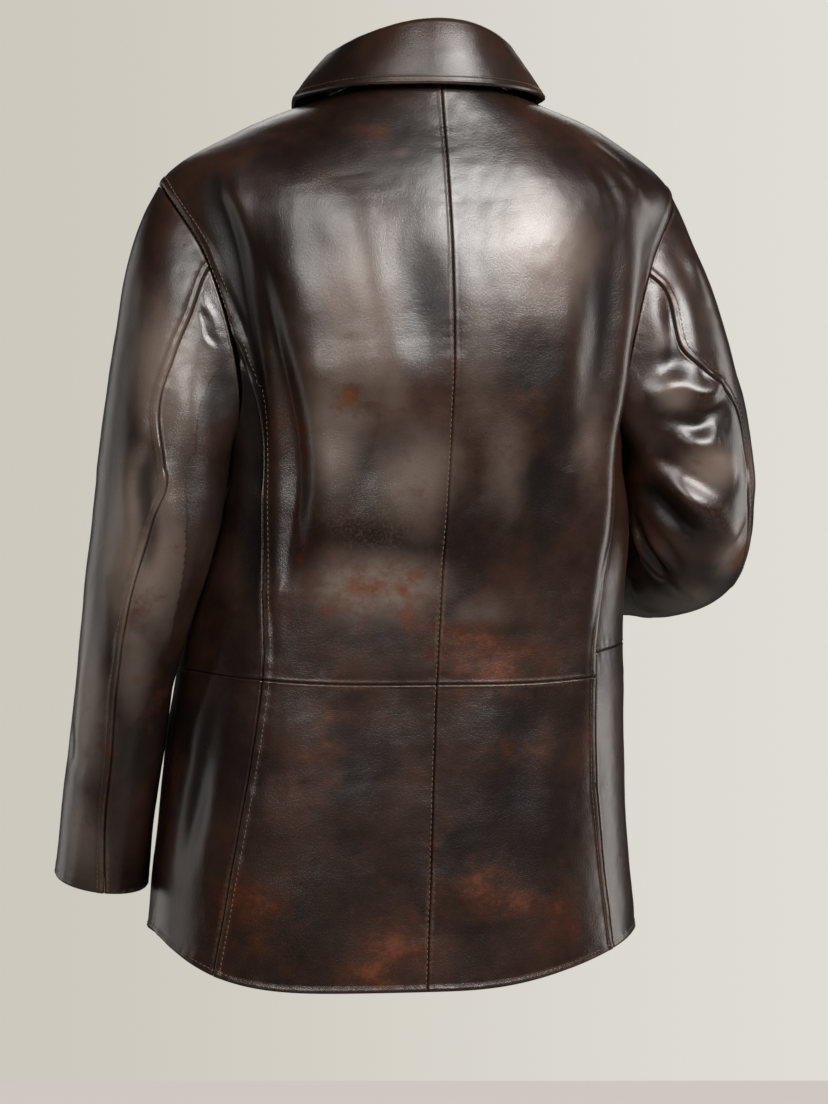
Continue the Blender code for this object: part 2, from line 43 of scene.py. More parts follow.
# Rings of the body, as in the solids: heights, half sizes and squareness of each level.
bodyNames = (
    "zBack", "zLeft", "zRight", "zFront", "centre", "left", "right", "back", "front",
    "squareSide", "squareEnd", "browLeft", "browRight",
)
bodyRows = (
    (-756, -712, -714, -742, 24, 206, 207, 134, 128, 2.4, 2.5, 10, 3.5),
    (-632, -602, -604, -618, 18, 201, 194, 125, 120, 2.4, 2.5, 8, 4),
    (-505, -494, -490, -494, 12, 193, 187, 117, 112, 2.4, 2.6, 6, 6),
    (-432, -425, -420, -415, 8, 182, 184, 115, 112, 2.4, 2.6, 4, 4),
    (-366, -364, -362, -350, 4, 169, 183, 120, 117, 2.4, 2.6, 2.5, 2.5),
    (-302, -312, -310, -292, 2, 165, 176, 127, 123, 2.3, 2.5, 2, 2),
    (-236, -240, -240, -228, 0, 184, 188, 131, 120, 2.2, 2.4, 2, 2),
    (-162, -150, -150, -165, 0, 209, 210, 125, 106, 2.0, 2.3, 2, 2),
    (-94, -88, -86, -116, 0, 222, 220, 110, 87, 1.8, 2.2, 2, 2),
    (-42, -44, -38, -94, 0, 158, 160, 93, 73, 1.8, 2.1, 2, 2),
    (0, -10, -10, -78, 0, 76, 78, 80, 62, 2.0, 2.0, 2, 2),
)
body = dict(zip(bodyNames, np.array(bodyRows, float).T))
levelKnots = np.arange(len(bodyRows))
sideWaist = {"left": 2.0, "right": 2.22}
armholeCut = {"back": 18.5, "front": 22.0, "skew": 0.45}
princessJoin, sideJoin = 90, 225
princessSeam = ((0, 28.0), (1, 31.0), (2, 33.0), (3, 30.0), (4, 27.0), (5, 25.2), (5.7, 23.6), (6.15, 21.3))
sideSeam = ((0, -27.0), (2, -25.0), (4, -22.5))

# The body's largest folds, as in the solids: top level, bearings at the top, middle and foot, foot level,
# width in degrees and height.
formFolds = (
    (8.0, 157.0, 147.5, 144.0, 1.2, 5.5, 8.0),
    (7.7, 169.0, 160.0, 155.5, 3.0, 6.0, -7.0),
    (7.7, 20.0, 35.0, 36.0, 3.0, 5.0, -10.0),
    (7.6, 36.0, 48.0, 47.0, 2.2, 6.0, 5.0),
)


def cubic(t, rise, start, end):
    # a rise with a slope at either end: start*t + (3*rise - 2*start - end)*t^2 + (start + end - 2*rise)*t^3
    return t * start + t**2 * (3 * rise - 2 * start - end) + t**3 * (start + end - 2 * rise)


def circle(angle):
    # cosine and sine of an angle in degrees
    angle = np.radians(angle)
    return np.cos(angle), np.sin(angle)


def bend(t, start, middle, end):
    # parabola through three values at t = 0, 1/2 and 1
    return start + t * (4 * middle - 3 * start - end) + 2 * t**2 * (start + end - 2 * middle)


def smoothThrough(knots, values, at):
    # cubics through the knots: each slope is the mean slope of its neighbours
    knots, values, at = (np.asarray(a, float) for a in (knots, values, at))
    slopes = np.gradient(values, knots)
    low = np.clip(np.searchsorted(knots, at, side="right") - 1, 0, len(knots) - 2)
    step = knots[low + 1] - knots[low]
    t = np.clip((at - knots[low]) / step, 0, 1)
    return values[low] + cubic(t, values[low + 1] - values[low], slopes[low] * step, slopes[low + 1] * step)


def ease(share):
    # 0 to 1 as 3s^2 - 2s^3, flat at both ends
    share = np.clip(share, 0, 1)
    return share**2 * (3 - 2 * share)


def unit(vectors):
    # each vector over its own length
    return vectors / np.maximum(np.linalg.norm(vectors, axis=-1, keepdims=True), 1e-9)


def bodyForm(bearing, level):
    # inner face of the body: superellipse rings, reach = (|cos/a|^n + |sin/b|^n)^(-1/n) + folds
    bearing, level = np.broadcast_arrays(np.asarray(bearing, float), np.asarray(level, float))
    ring = {name: smoothThrough(levelKnots, values, level) for name, values in body.items()}
    across, along = circle(bearing)
    halfWidth = np.where(across >= 0, ring["left"], ring["right"])
    halfDepth = np.where(along >= 0, ring["back"], ring["front"])
    square = ring["squareSide"] * across**2 + ring["squareEnd"] * along**2
    reach = ((np.abs(across) / halfWidth) ** square + (np.abs(along) / halfDepth) ** square) ** (-1 / square)
    for topLevel, top, middle, low, lowLevel, width, height in formFolds:
        t = (topLevel - level) / (topLevel - lowLevel)
        beside = (bearing - bend(t, top, middle, low)) / width
        reach = reach + height * np.sin(np.pi * np.clip(t, 0, 1)) ** 0.8 * np.exp(-(beside**2))
    sideZ = np.where(across >= 0, ring["zLeft"], ring["zRight"])
    endZ = np.where(along >= 0, ring["zBack"], ring["zFront"])
    brow = np.where(across >= 0, ring["browLeft"], ring["browRight"])
    z = endZ + (sideZ - endZ) * np.abs(across) ** brow
    return np.stack([ring["centre"] + reach * across, reach * along, z], axis=-1)


def slopeNormal(surface, first, second, lowest, highest):
    # cross product of the surface's central differences along its two parameters
    turn, rise = 0.5, 0.02
    first, second = np.broadcast_arrays(np.asarray(first, float), np.asarray(second, float))
    second = np.clip(second, lowest + rise, highest - rise)
    slopeFirst = surface(first + turn, second) - surface(first - turn, second)
    slopeSecond = surface(first, second + rise) - surface(first, second - rise)
    return unit(np.cross(slopeFirst, slopeSecond))


def bodyNormal(bearing, level):
    # outward normal of the body's form
    return slopeNormal(bodyForm, bearing, level, hem, neckline)


def bodyOuter(bearing, level):
    # the solids' outer face: the form plus a wall along its normal
    return bodyForm(bearing, level) + bodyNormal(bearing, level) * wall


def armhole(angle):
    # bearing and level of the armhole on the left half; its angle is 0 at the tip, 90 behind, 180 underneath
    up, back = circle(angle)
    reach = np.where(back >= 0, armholeCut["back"], armholeCut["front"])
    middle, half = (shoulderTip + underarm) / 2, (shoulderTip - underarm) / 2
    return reach * back * (1 - armholeCut["skew"] * up), middle + half * up


def onSide(bearing, side):
    # a bearing of the left half, or 180 less it on the right
    return bearing if side == "left" else 180 - bearing


def longSeam(seam, join, level):
    # bearing of a long seam at a level, up to where it meets the armhole
    bearing, top = armhole(join)
    knots = np.array([*seam, (float(top), float(bearing))])
    return smoothThrough(knots[:, 0], knots[:, 1], np.minimum(level, top))


def princess(level):
    # the princess seam's bearing
    return longSeam(princessSeam, princessJoin, level)


def sideLine(level):
    # the side seam's bearing
    return longSeam(sideSeam, sideJoin, level)


def lineLength(points):
    # running length along a line of points, or along each row of a grid
    step = np.linalg.norm(np.diff(points, axis=-2), axis=-1)
    return np.concatenate([np.zeros_like(step[..., :1]), np.cumsum(step, axis=-1)], axis=-1)


# Millimetres between a sheet's points, and how many samples measure the lines that they are spread along.
pitch = {"back": 3.0, "front": 4.4, "skirt": 3.0, "sleeve": 3.0, "collar": 3.0}
samples = {"levels": 400, "across": 60, "armhole": 200, "sleeve": 500, "round": 70, "collar": 400}
armSteps = 34

# Steps beside a seam, close enough to hold its groove, welt and stitch line.
seamSteps = np.array([0, 0.5, 1.0, 1.6, 2.4, 3.4, 4.4, 5.2, 5.8, 6.4, 7.0, 8.0, 9.6, 12.0])


def spread(length, count):
    # shares of a length: seam steps from either end and even steps between them
    length = np.atleast_1d(np.asarray(length, float))[:, None]
    near = seamSteps * np.minimum(1, 0.42 * length / seamSteps[-1])
    middle = near[:, -1:] + (length - 2 * near[:, -1:]) * np.linspace(0, 1, count + 2)[1:-1]
    return np.concatenate([near, middle, (length - near)[:, ::-1]], axis=1) / length


def evenly(length, values, spacing):
    # values at such steps along each row of running lengths, with one count for all the rows
    rows, values = np.atleast_2d(length), np.atleast_2d(values)
    share = spread(rows[:, -1], int(rows[:, -1].max() / spacing))
    at = np.stack([np.interp(s * row[-1], row, value) for s, row, value in zip(share, rows, values)])
    return at if np.ndim(length) > 1 else at[0]


def levelsBetween(bearing, low, high, spacing):
    # levels from low to high, spread evenly on the surface
    dense = np.linspace(low, high, samples["levels"])
    return evenly(lineLength(bodyForm(bearing, dense)), dense, spacing)


def nearestOnLine(points, line):
    # distance from each point to a polyline, and the place along it, from the nearest vertex's two segments
    square = (points**2).sum(1)[:, None] + (line**2).sum(1)[None] - 2 * points @ line.T
    nearest = square.argmin(1)
    length = lineLength(line)
    best, place, foot = np.full(len(points), np.inf), np.zeros(len(points)), np.zeros_like(points)
    for shift in (-1, 0):
        start = np.clip(nearest + shift, 0, len(line) - 2)
        way = line[start + 1] - line[start]
        t = np.clip(((points - line[start]) * way).sum(1) / np.maximum((way**2).sum(1), 1e-9), 0, 1)
        spot = line[start] + way * t[:, None]
        distance = np.linalg.norm(points - spot, axis=1)
        closer = distance < best
        best = np.where(closer, distance, best)
        place = np.where(closer, length[start] + t * (length[start + 1] - length[start]), place)
        foot = np.where(closer[:, None], spot, foot)
    return best, place, foot


def seamLook(*values):
    # a seam's measures in mm by name: rows are its stitch lines' distances, pucker its puckers' height
    return dict(zip(("groove", "narrow", "lip", "welt", "end", "dip", "rows", "pucker"), values))


plainSeam = seamLook(1.0, 0.7, 0.25, 0.0, 6.0, 0.0, (), 0.07)
edgeSeam = seamLook(1.2, 0.9, 0.2, 0.4, 2.2, 0.15, (1.5,), 0.08)
weltSeam = seamLook(1.3, 0.9, 0.2, 0.75, 6.0, 0.4, (6.0,), 0.13)
doubleSeam = seamLook(1.3, 0.9, 0.0, 1.0, 8.0, 0.4, (1.8, 7.8), 0.16)
hemEdge = seamLook(0.2, 0.8, 0.2, 0.6, 4.6, 0.4, (4.6,), 0.16)
collarEdge = seamLook(0.2, 0.8, 0.3, 0.4, 6.4, 0.35, (6.4,), 0.1)
cuffEdge = seamLook(0.2, 0.8, 0.3, 0.35, 9.0, 0.0, (), 0.1)


def bell(distance, middle, width):
    # exp(-((distance - middle) / width)^2)
    return np.exp(-(((distance - middle) / width) ** 2))


def seamRelief(distance, place, look):
    # groove and lip at the seam, a welt up to its end, a dip along each row of stitches, puckers across them
    relief = look["lip"] * bell(distance, 1.7, 0.8) - look["groove"] * bell(distance, 0, look["narrow"])
    relief += look["welt"] * ease((distance - 0.3) / 1.3) * (1 - ease((distance - look["end"]) / 1.6))
    for row in look["rows"]:
        relief -= look["dip"] * bell(distance, row, 0.75)
    pulled = np.sin(place / 2.3 + 2.2 * np.sin(place / 9.1))
    pulled = pulled + 0.6 * np.sin(place / 5.7 + 1.3 * np.sin(place / 23))
    return relief + look["pucker"] * pulled * bell(distance, 5, 5)


creaseSteps = 28


def creaseRelief(points, normals, creases, surface):
    # each crease is a curve on a surface, its section a bell steeper on one side, its depth uneven along it
    total = np.zeros(len(points))
    for number, (a1, b1, a2, b2, a3, b3, width, height, lean) in enumerate(creases):
        t = np.linspace(0, 1, creaseSteps)
        wobble = 0.04 * np.sin(np.pi * t) * np.sin(7 * t + 1.7 * number)
        a = bend(t, a1, a2, a3) + wobble * (b3 - b1) * 2.5
        b = bend(t, b1, b2, b3) + wobble * (a3 - a1) * 0.02
        line = surface(a, b)
        reach = 3 * width
        near = np.all((points > line.min(0) - reach) & (points < line.max(0) + reach), axis=1)
        if not near.any():
            continue
        distance, place, foot = nearestOnLine(points[near], line)
        share = place / lineLength(line)[-1]
        way = unit(np.gradient(line, axis=0))
        tangent = way[(share * (creaseSteps - 1)).round().astype(int)]
        side = (np.cross(tangent, normals[near]) * (points[near] - foot)).sum(1) / np.maximum(distance, 0.1)
        q = distance / (width * (1 - 0.35 * lean * side))
        section = bell(q, 0, 1) - 0.22 * bell(q, 1.9, 0.8)
        fade = np.sin(np.pi * np.clip(share, 0.001, 0.999)) ** 0.7
        uneven = 1 + 0.22 * np.sin(2 * np.pi * (1.6 * share + 0.37 * number))
        total[near] += height * section * fade * uneven
    return total


chance = np.random.default_rng(7)


def waveSet(count, shortest, longest):
    # random directions and phases, wavelengths spread evenly by ratio between the two
    length = shortest * (longest / shortest) ** chance.random(count)
    return unit(chance.normal(size=(count, 3))) * (2 * np.pi / length)[:, None], chance.random(count) * 6.28


ripples = ((0.55, *waveSet(22, 60, 170)), (0.05, *waveSet(40, 10, 30)))


def waves(points):
    # for each set, height * the sum of cosines along its directions * sqrt(2 / their number)
    total = np.zeros(len(points))
    for height, directions, phases in ripples:
        total += height * np.cos(points @ directions.T + phases).sum(1) * np.sqrt(2 / len(phases))
    return total


# Creases: two numbers each for the start, middle and end, then width, height and lean, in mm. On the body the
# two numbers are bearing and level, on a sleeve its angle and step.
bodyCreases = [
    (15, 8.2, 24, 6.4, 23, 4.3, 13, -7.0, -0.9),  # beside the left armhole
    (22, 4.8, 26, 3.5, 30, 2.2, 14, -2.6, -0.6),
    (36, 7.9, 42, 6.9, 44, 5.9, 20, -1.5, 0.3),
    (52, 8.1, 60, 6.5, 62, 4.6, 24, 2.4, 0.1),
    (66, 7.9, 77, 6.5, 81, 5.2, 20, -1.7, 0.3),
    (107, 7.2, 105, 6.3, 103, 5.3, 22, -1.2, 0.2),
    (125, 6.9, 121, 6.3, 117, 5.2, 20, -1.6, 0.2),
    (146, 7.3, 141, 6.0, 133, 4.6, 17, -2.6, -0.3),
    (133, 5.5, 126, 4.1, 132, 2.4, 19, -2.4, -0.3),
    (36, 4.0, 58, 3.9, 87, 3.8, 34, 3.6, 0.2),  # across the small of the back
    (34, 5.2, 57, 5.1, 80, 4.9, 24, -1.4, 0.2),
    (98, 4.1, 110, 3.8, 124, 3.6, 28, 1.5, 0.2),
    (33, 1.25, 43, 1.03, 56, 1.0, 20, 0.8, 0.3),  # skirt
    (72, 1.97, 73, 1.4, 77, 0.7, 17, 1.6, 0.1),
    (57, 1.9, 60, 1.2, 62, 0.2, 18, -1.5, 0.0),
    (108, 1.85, 106, 1.0, 110, 0.15, 18, 1.3, 0.0),
    (126, 1.95, 122, 1.2, 128, 0.2, 16, -1.4, 0.2),
    (22, 1.9, 19, 1.15, 16, 0.4, 10, -2.2, 0.2),
    (6, 1.8, 8, 1.1, 6, 0.3, 11, 1.8, 0.2),
    (172, 1.9, 168, 1.1, 173, 0.3, 11, -1.8, 0.2),
    (8, 9.1, 21, 8.2, 31, 7.4, 14, 1.1, 0.4),  # shoulders
    (14, 8.8, 27, 7.8, 35, 6.9, 12, -1.2, 0.2),
    (155, 8.7, 159, 8.2, 160, 7.7, 7, 2.0, 0.3),
    (148, 8.5, 151, 8.0, 150, 7.4, 8, -1.6, 0.2),
    (18, 6.8, 20, 6.58, 23, 6.3, 3, -1.6, 0.3),  # crumples under the left arm
    (17, 6.5, 20, 6.3, 24, 6.1, 3.4, 1.3, 0.3),
    (19, 6.2, 22, 5.95, 25, 5.8, 3, -1.3, 0.2),
    (8, 4.7, 2, 4.2, -6, 4.0, 7, -1.8, 0.2),  # sides and front, much as the back
    (172, 4.8, 180, 4.3, 190, 4.1, 7, -1.8, 0.2),
    (10, 3.4, -2, 3.1, -16, 3.2, 9, 1.6, 0.3),
    (172, 3.5, 184, 3.1, 198, 3.2, 9, 1.6, 0.3),
    (-38, 7.3, -47, 6.0, -45, 4.6, 11, -3.0, 0.3),
    (-60, 7.2, -66, 5.6, -61, 4.0, 10, 2.1, 0.2),
    (217, 7.3, 226, 5.9, 224, 4.4, 11, -3.0, 0.3),
    (236, 7.0, 241, 5.5, 236, 3.9, 10, 1.9, 0.2),
    (-38, 3.0, -55, 2.5, -74, 2.3, 12, 2.0, 0.3),
    (218, 3.1, 232, 2.6, 246, 2.3, 12, 1.9, 0.3),
    (-50, 1.8, -53, 1.0, -49, 0.2, 13, -1.8, 0.2),
    (-72, 1.6, -69, 0.9, -72, 0.2, 12, 1.5, 0.1),
    (227, 1.8, 231, 1.0, 228, 0.2, 13, -1.7, 0.2),
]
sleeveCreases = {
    "left": [
        (64, -0.4, 88, -0.05, 102, 0.9, 15, 2.6, 0.2),
        (50, -0.3, 34, 0.55, 54, 1.7, 11, -2.6, 0.3),
        (84, -0.76, 108, -0.62, 130, 0.2, 13, -1.6, 0.3),
        (79, -0.80, 88, -0.77, 95, -0.82, 3, -1.0, 0.3),
        (75, -0.86, 84, -0.84, 92, -0.88, 3, 0.8, 0.3),
        (116, 0.7, 124, 1.3, 114, 2.1, 15, -1.0, 0.3),
        (20, 1.6, 58, 2.1, 98, 1.9, 12, -1.3, 0.4),
        (28, 2.6, 62, 2.9, 98, 2.7, 12, 1.0, 0.4),
        (8, 2.3, 19, 3.5, 32, 4.9, 14, 1.7, 0.2),
        (90, 2.2, 108, 3.6, 110, 5.1, 14, -1.4, 0.2),
        (-10, 3.6, 10, 4.1, 40, 4.3, 9, -1.3, 0.3),
        (-58, 0.1, -75, 1.4, -62, 2.7, 11, -2.5, 0.2),
        (-104, 1.0, -82, 1.9, -48, 2.2, 8, 1.9, 0.4),
        (-100, 1.6, -76, 2.5, -40, 2.8, 8, -1.8, 0.3),
        (-70, 3.2, -60, 4.2, -66, 5.4, 10, 1.6, 0.2),
        (150, 0.8, 166, 1.8, 150, 3.1, 9, -2.0, 0.2),
        (188, 1.6, 202, 2.5, 184, 3.6, 9, 1.8, 0.2),
    ],
    "right": [
        (112, -0.66, 82, -0.42, 50, -0.34, 9.5, 4.6, 0.7),  # the elbow
        (116, -0.52, 88, -0.28, 58, -0.16, 10, -3.6, 0.3),
        (104, -0.30, 82, -0.04, 58, 0.30, 14, 2.6, 0.2),
        (128, -0.40, 112, 0.20, 78, 1.00, 11, -4.2, 0.3),
        (140, -0.22, 107, 0.78, 62, 1.74, 14, 5.8, 0.5),
        (148, 0.20, 117, 1.34, 80, 2.10, 11, -5.2, 0.4),
        (108, 1.55, 94, 1.90, 74, 2.30, 9, 2.6, 0.4),
        (170, 1.2, 155, 2.14, 124, 2.62, 5.5, 3.6, 0.5),
        (165, 1.25, 148, 1.98, 122, 2.48, 4.2, -2.6, 0.3),
        (162, 1.18, 141, 1.86, 118, 2.38, 5.5, 3.4, 0.5),
        (124, 2.34, 101, 2.78, 74, 3.05, 9, 2.9, 0.5),
        (152, 3.2, 127, 3.82, 100, 3.7, 7, 2.6, 0.4),
        (38, -0.93, 42, -0.80, 42, -0.60, 9, 1.8, 0.2),
        (68, -0.84, 78, -0.70, 92, -0.56, 9, -2.8, 0.2),
        (20, -0.3, 24, 0.6, 40, 1.5, 10, 2.0, 0.3),
        (196, 0.4, 214, 1.5, 206, 2.6, 7, -3.0, 0.3),  # inside the bend and along the forearm
        (226, 0.6, 238, 1.6, 230, 2.8, 7, 2.6, 0.4),
        (-66, 0.8, -34, 1.7, 0, 2.1, 7, 2.6, 0.4),
        (-84, 1.5, -48, 2.4, -12, 2.7, 7, -2.6, 0.4),
        (-70, 3.0, -40, 3.5, -8, 3.5, 8, 1.9, 0.3),
        (16, 4.2, 58, 4.6, 100, 4.4, 8, 1.6, 0.3),
        (10, 5.3, 52, 5.8, 92, 5.6, 8, -1.5, 0.3),
    ],
}

# Rust patches where the finish is rubbed through: place, half width, half height and strength.
bodyRubs = [
    (110, 0.68, 30, 22, 1.05), (121, 0.52, 50, 22, 1.04), (131, 0.42, 29, 20, 0.95), (79, 0.3, 42, 25, 1.04),
    (70, 0.16, 34, 20, 1.02), (101, 2.36, 38, 28, 1.02), (111, 2.15, 54, 20, 1.14), (124, 2.2, 34, 22, 0.72),
    (53, 5.5, 19, 16, 0.6), (39, 5.2, 12, 32, 0.75), (35, 5.3, 19, 20, 0.6), (57, 8.9, 19, 11, 0.65),
    (69, 8.5, 19, 11, 0.5), (50, 1.48, 30, 48, 0.84), (55, 1.76, 44, 24, 0.66), (124, 1.5, 48, 20, 0.72),
    (36, 0.5, 38, 40, 0.96), (81, 2.95, 28, 54, 0.6), (89, 7.1, 19, 16, 0.4), (50, 2.4, 44, 34, 0.6),
    (59, 3.05, 44, 38, 0.6), (41, 2.9, 20, 54, 0.6), (147, 4.5, 11, 30, 0.45), (116, 5.4, 27, 22, 0.4),
    (20, 8.4, 14, 19, 0.5), (92, 0.9, 20, 68, 0.42), (8, 1, 24, 50, 0.6), (175, 3.2, 19, 54, 0.5),
    (-50, 1, 40, 22, 0.8), (-70, 0.4, 30, 16, 0.8), (-62, 4.9, 24, 30, 0.55), (-45, 6.8, 22, 16, 0.5),
    (228, 0.7, 38, 19, 0.85), (216, 5.4, 19, 32, 0.6), (238, 2.4, 35, 19, 0.6), (222, 7.4, 24, 16, 0.5),
    (-84, 3.3, 12, 81, 0.4),
]
sleeveRubs = {
    "left": [
        (102, 3, 19, 46, 0.6), (72, 4, 16, 46, 0.55), (40, 4.8, 24, 35, 0.5), (60, 2.1, 24, 19, 0.5),
        (-20, 1.8, 24, 27, 0.5), (20, -0.6, 16, 27, 0.35), (-60, 4.6, 22, 30, 0.5),
    ],
    "right": [
        (80, -0.72, 11, 8, 1.2), (70, -0.88, 12, 24, 0.7), (54, 2.2, 14, 19, 0.8), (96, 0.4, 19, 19, 0.5),
        (30, 0.4, 19, 30, 0.45), (40, 5, 32, 16, 0.6), (-30, 3.6, 24, 19, 0.5),
    ],
}

# Painted light, in the same numbers: above zero a painted highlight in a pale colour, below zero painted
# shade, darker and dull.
bodyPaintedLight = [
    (55, 6.4, 46, 72, 1.0), (50, 5.1, 36, 58, 0.9), (68, 6.0, 20, 90, 0.5), (122, 7.2, 62, 66, 0.95),
    (100, 6.6, 26, 100, 0.6), (139, 5.6, 20, 88, 0.6), (64, 3.1, 66, 32, 1.1), (104, 2.8, 46, 22, 0.45),
    (78, 3.9, 30, 34, 0.4), (112, 4.6, 26, 50, 0.55), (74, 4.5, 50, 52, 0.7), (20, 4.0, 14, 60, 0.25),
    (172, 2.6, 20, 90, 0.6), (170, 1.0, 18, 60, 0.5),
    (20, 6.6, 22, 84, -1.0), (20, 5.0, 17, 70, -1.0), (14, 3.2, 20, 70, -0.4),
    (20, 8.3, 36, 22, -0.9), (46, 8.4, 50, 20, -0.4),
    (-48, 6.0, 44, 80, 0.7), (228, 6.2, 44, 76, 0.7), (-66, 3.0, 40, 44, 0.45), (236, 2.6, 40, 40, 0.45),
]
sleevePaintedLight = {
    "left": [
        (56, -0.4, 40, 70, 1.1), (30, 1.2, 40, 80, 1.25), (18, 3.2, 34, 90, 1.2), (44, 5.2, 30, 60, 0.9),
        (70, 2.6, 22, 60, 0.7), (-50, 2.0, 34, 70, 0.5), (122, 1.2, 36, 110, -1.0), (110, -0.5, 30, 40, -1.0),
        (126, 4.0, 30, 90, -0.7),
    ],
    "right": [
        (84, 0.1, 28, 20, 1.1), (96, -0.5, 20, 16, 0.9), (60, 2.0, 26, 36, 0.9), (100, 3.0, 32, 18, 1.0),
        (40, 0.2, 20, 60, 0.5), (30, 4.8, 40, 22, 0.5),
    ],
}


def rubAt(points, surface, spots):
    # the strongest of soft ellipsoids either way, each strength * exp(-(across/a)^2 - (up/b)^2)
    total = np.zeros(len(points))
    for first, second, wide, high, strength in spots:
        middle = surface(np.float64(first), np.float64(second))
        across = np.linalg.norm((points - middle)[:, :2], axis=1)
        near = np.exp(-((across / wide) ** 2) - ((points[:, 2] - middle[2]) / high) ** 2)
        total = np.where(abs(strength) * near > np.abs(total), strength * near, total)
    return total


coat = bpy.data.collections.new("coat_dressed")
bpy.context.scene.collection.children.link(coat)


def gridFaces(rows, cols):
    # quads of a grid, and the loop of vertices round its border
    index = np.arange(rows * cols).reshape(rows, cols)
    quads = np.stack([index[:-1, :-1], index[:-1, 1:], index[1:, 1:], index[1:, :-1]], axis=-1).reshape(-1, 4)
    rim = np.concatenate([index[0, :-1], index[:-1, -1], index[-1, :0:-1], index[:0:-1, 0]])
    return quads, rim


def ringFaces(rows, sides):
    # quads between rings of vertices, with each vertex's number and the next one's round its ring
    index = np.arange(rows * sides).reshape(rows, sides)
    ahead = np.roll(index, -1, axis=1)
    return np.stack([index[:-1], ahead[:-1], ahead[1:], index[1:]], -1).reshape(-1, 4), index, ahead


def newPiece(name, points, faces, slot, *looks):
    # a smooth object of the coat from points in mm, its faces and its materials; slot is not used
    mesh = bpy.data.meshes.new(name)
    mesh.from_pydata((points * mm).tolist(), [], faces)
    for look in looks:
        mesh.materials.append(look)
    mesh.shade_smooth()
    piece = bpy.data.objects.new(name, mesh)
    coat.objects.link(piece)
    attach(piece, "root")
    return piece


leatherThick = 1.3


def shell(name, outer, normal, looks, values):
    # a closed sheet: the outer grid, every second line of it a thickness below, and a strip round the border,
    # where each outer vertex is joined to the next inner one kept
    rows, cols = outer.shape[:2]
    keepRows, keepCols = (np.unique(np.append(np.arange(0, n, 2), n - 1)) for n in (rows, cols))
    kept = np.ix_(keepRows, keepCols)
    inner = (outer - normal * leatherThick)[kept]
    quads, rim = gridFaces(rows, cols)
    innerQuads = gridFaces(len(keepRows), len(keepCols))[0] + rows * cols
    partner = np.searchsorted(keepRows, rim // cols) * len(keepCols) + np.searchsorted(keepCols, rim % cols)
    partner = partner + rows * cols
    ahead, partnerAhead = np.roll(rim, -1), np.roll(partner, -1)
    strip = np.stack([ahead, rim, partner], axis=-1)
    fill = np.stack([partnerAhead, ahead, partner], axis=-1)[partner != partnerAhead]
    parts = [quads, innerQuads[:, ::-1], strip, fill]
    middle = outer[rows // 2, cols // 2]
    across, up = outer[rows // 2, cols // 2 + 1] - middle, outer[rows // 2 + 1, cols // 2] - middle
    if np.cross(across, up) @ normal[rows // 2, cols // 2] < 0:
        parts = [part[:, ::-1] for part in parts]
    points = np.concatenate([outer.reshape(-1, 3), inner.reshape(-1, 3)])
    piece = newPiece(name, points, sum((part.tolist() for part in parts), []), "leather", *looks)
    piece.data.polygons.foreach_set("material_index", np.repeat([0, 1, 0, 0], [len(part) for part in parts]))
    piece.data.set_sharp_from_angle(angle=1.0)
    for label, value in values.items():
        value = value.reshape(rows, cols)
        value = np.concatenate([value.ravel(), value[kept].ravel()])
        layer = piece.data.attributes.new(label, "FLOAT", "POINT")
        layer.data.foreach_set("value", value.astype(np.float32))
    return piece


def gridNormal(grid, toward):
    # cross product of the grid's differences, turned to the side of the form's normal
    normal = unit(np.cross(np.gradient(grid, axis=1), np.gradient(grid, axis=0)))
    return normal * np.sign((normal * toward).sum(-1, keepdims=True) + 1e-9)


stitchLook = {"pitch": 4.4, "long": 3.3, "thick": 0.34, "sides": 5, "proud": 0.12}
rodStations = np.array([-0.5, -0.36, 0.0, 0.36, 0.5])  # along a thread, in its own lengths
rodSizes = np.array([0.35, 0.9, 1.0, 0.9, 0.35])
rodDrops = np.array([-0.5, 0.0, 0.14, 0.0, -0.5])  # mm above the leather at each station


def stitching(name, rows, look):
    # threads along lines on the leather: short rods, middle + way*s*long + up*drop + ring*size
    ring = np.linspace(0, 2 * np.pi, stitchLook["sides"], endpoint=False)
    rods = []
    for tree, line in rows:
        length = lineLength(line)
        middles = np.arange(stitchLook["pitch"] / 2, length[-1], stitchLook["pitch"])
        ends, ups = [], []
        for offset in (-0.5, 0.5):
            at = middles + offset * stitchLook["long"]
            points = np.stack([np.interp(at, length, line[:, axis]) for axis in range(3)], axis=-1)
            hits = [tree.find_nearest(Vector(point)) for point in points]
            ends.append(np.array([hit[0] for hit in hits]))
            ups.append(np.array([hit[1] for hit in hits]))
        up, way = unit(ups[0] + ups[1]), unit(ends[1] - ends[0])
        beside = np.cross(way, up)
        middle = (ends[0] + ends[1]) / 2 + up * stitchLook["proud"]
        up, way, beside, middle = (a[:, None, None] for a in (up, way, beside, middle))
        around = up * np.sin(ring)[:, None] + beside * np.cos(ring)[:, None]
        along = way * rodStations[:, None, None] * stitchLook["long"] + up * rodDrops[:, None, None]
        rods.append(middle + along + around * rodSizes[:, None, None] * stitchLook["thick"])
    rods = np.concatenate(rods)
    count, stations, sides = rods.shape[:3]
    quads, index, ahead = ringFaces(stations, sides)
    start = np.arange(count)[:, None, None] * stations * sides
    faces = (quads + start).reshape(-1, 4).tolist()
    for cap in (index[0][::-1], index[-1]):
        faces += (cap + start[:, 0]).tolist()
    return newPiece(name, rods.reshape(-1, 3), faces, "leather", look)


def nodeTree(name):
    # a new material's nodes and links, with its shader
    material = bpy.data.materials.new(name)
    material.use_nodes = True
    tree = material.node_tree
    return material, tree, tree.nodes["Principled BSDF"]


def setInputs(tree, node, inputs):
    # a node's inputs, given as links or values
    for label, value in inputs.items():
        if isinstance(value, bpy.types.NodeSocket):
            tree.links.new(value, node.inputs[label])
        else:
            node.inputs[label].default_value = value


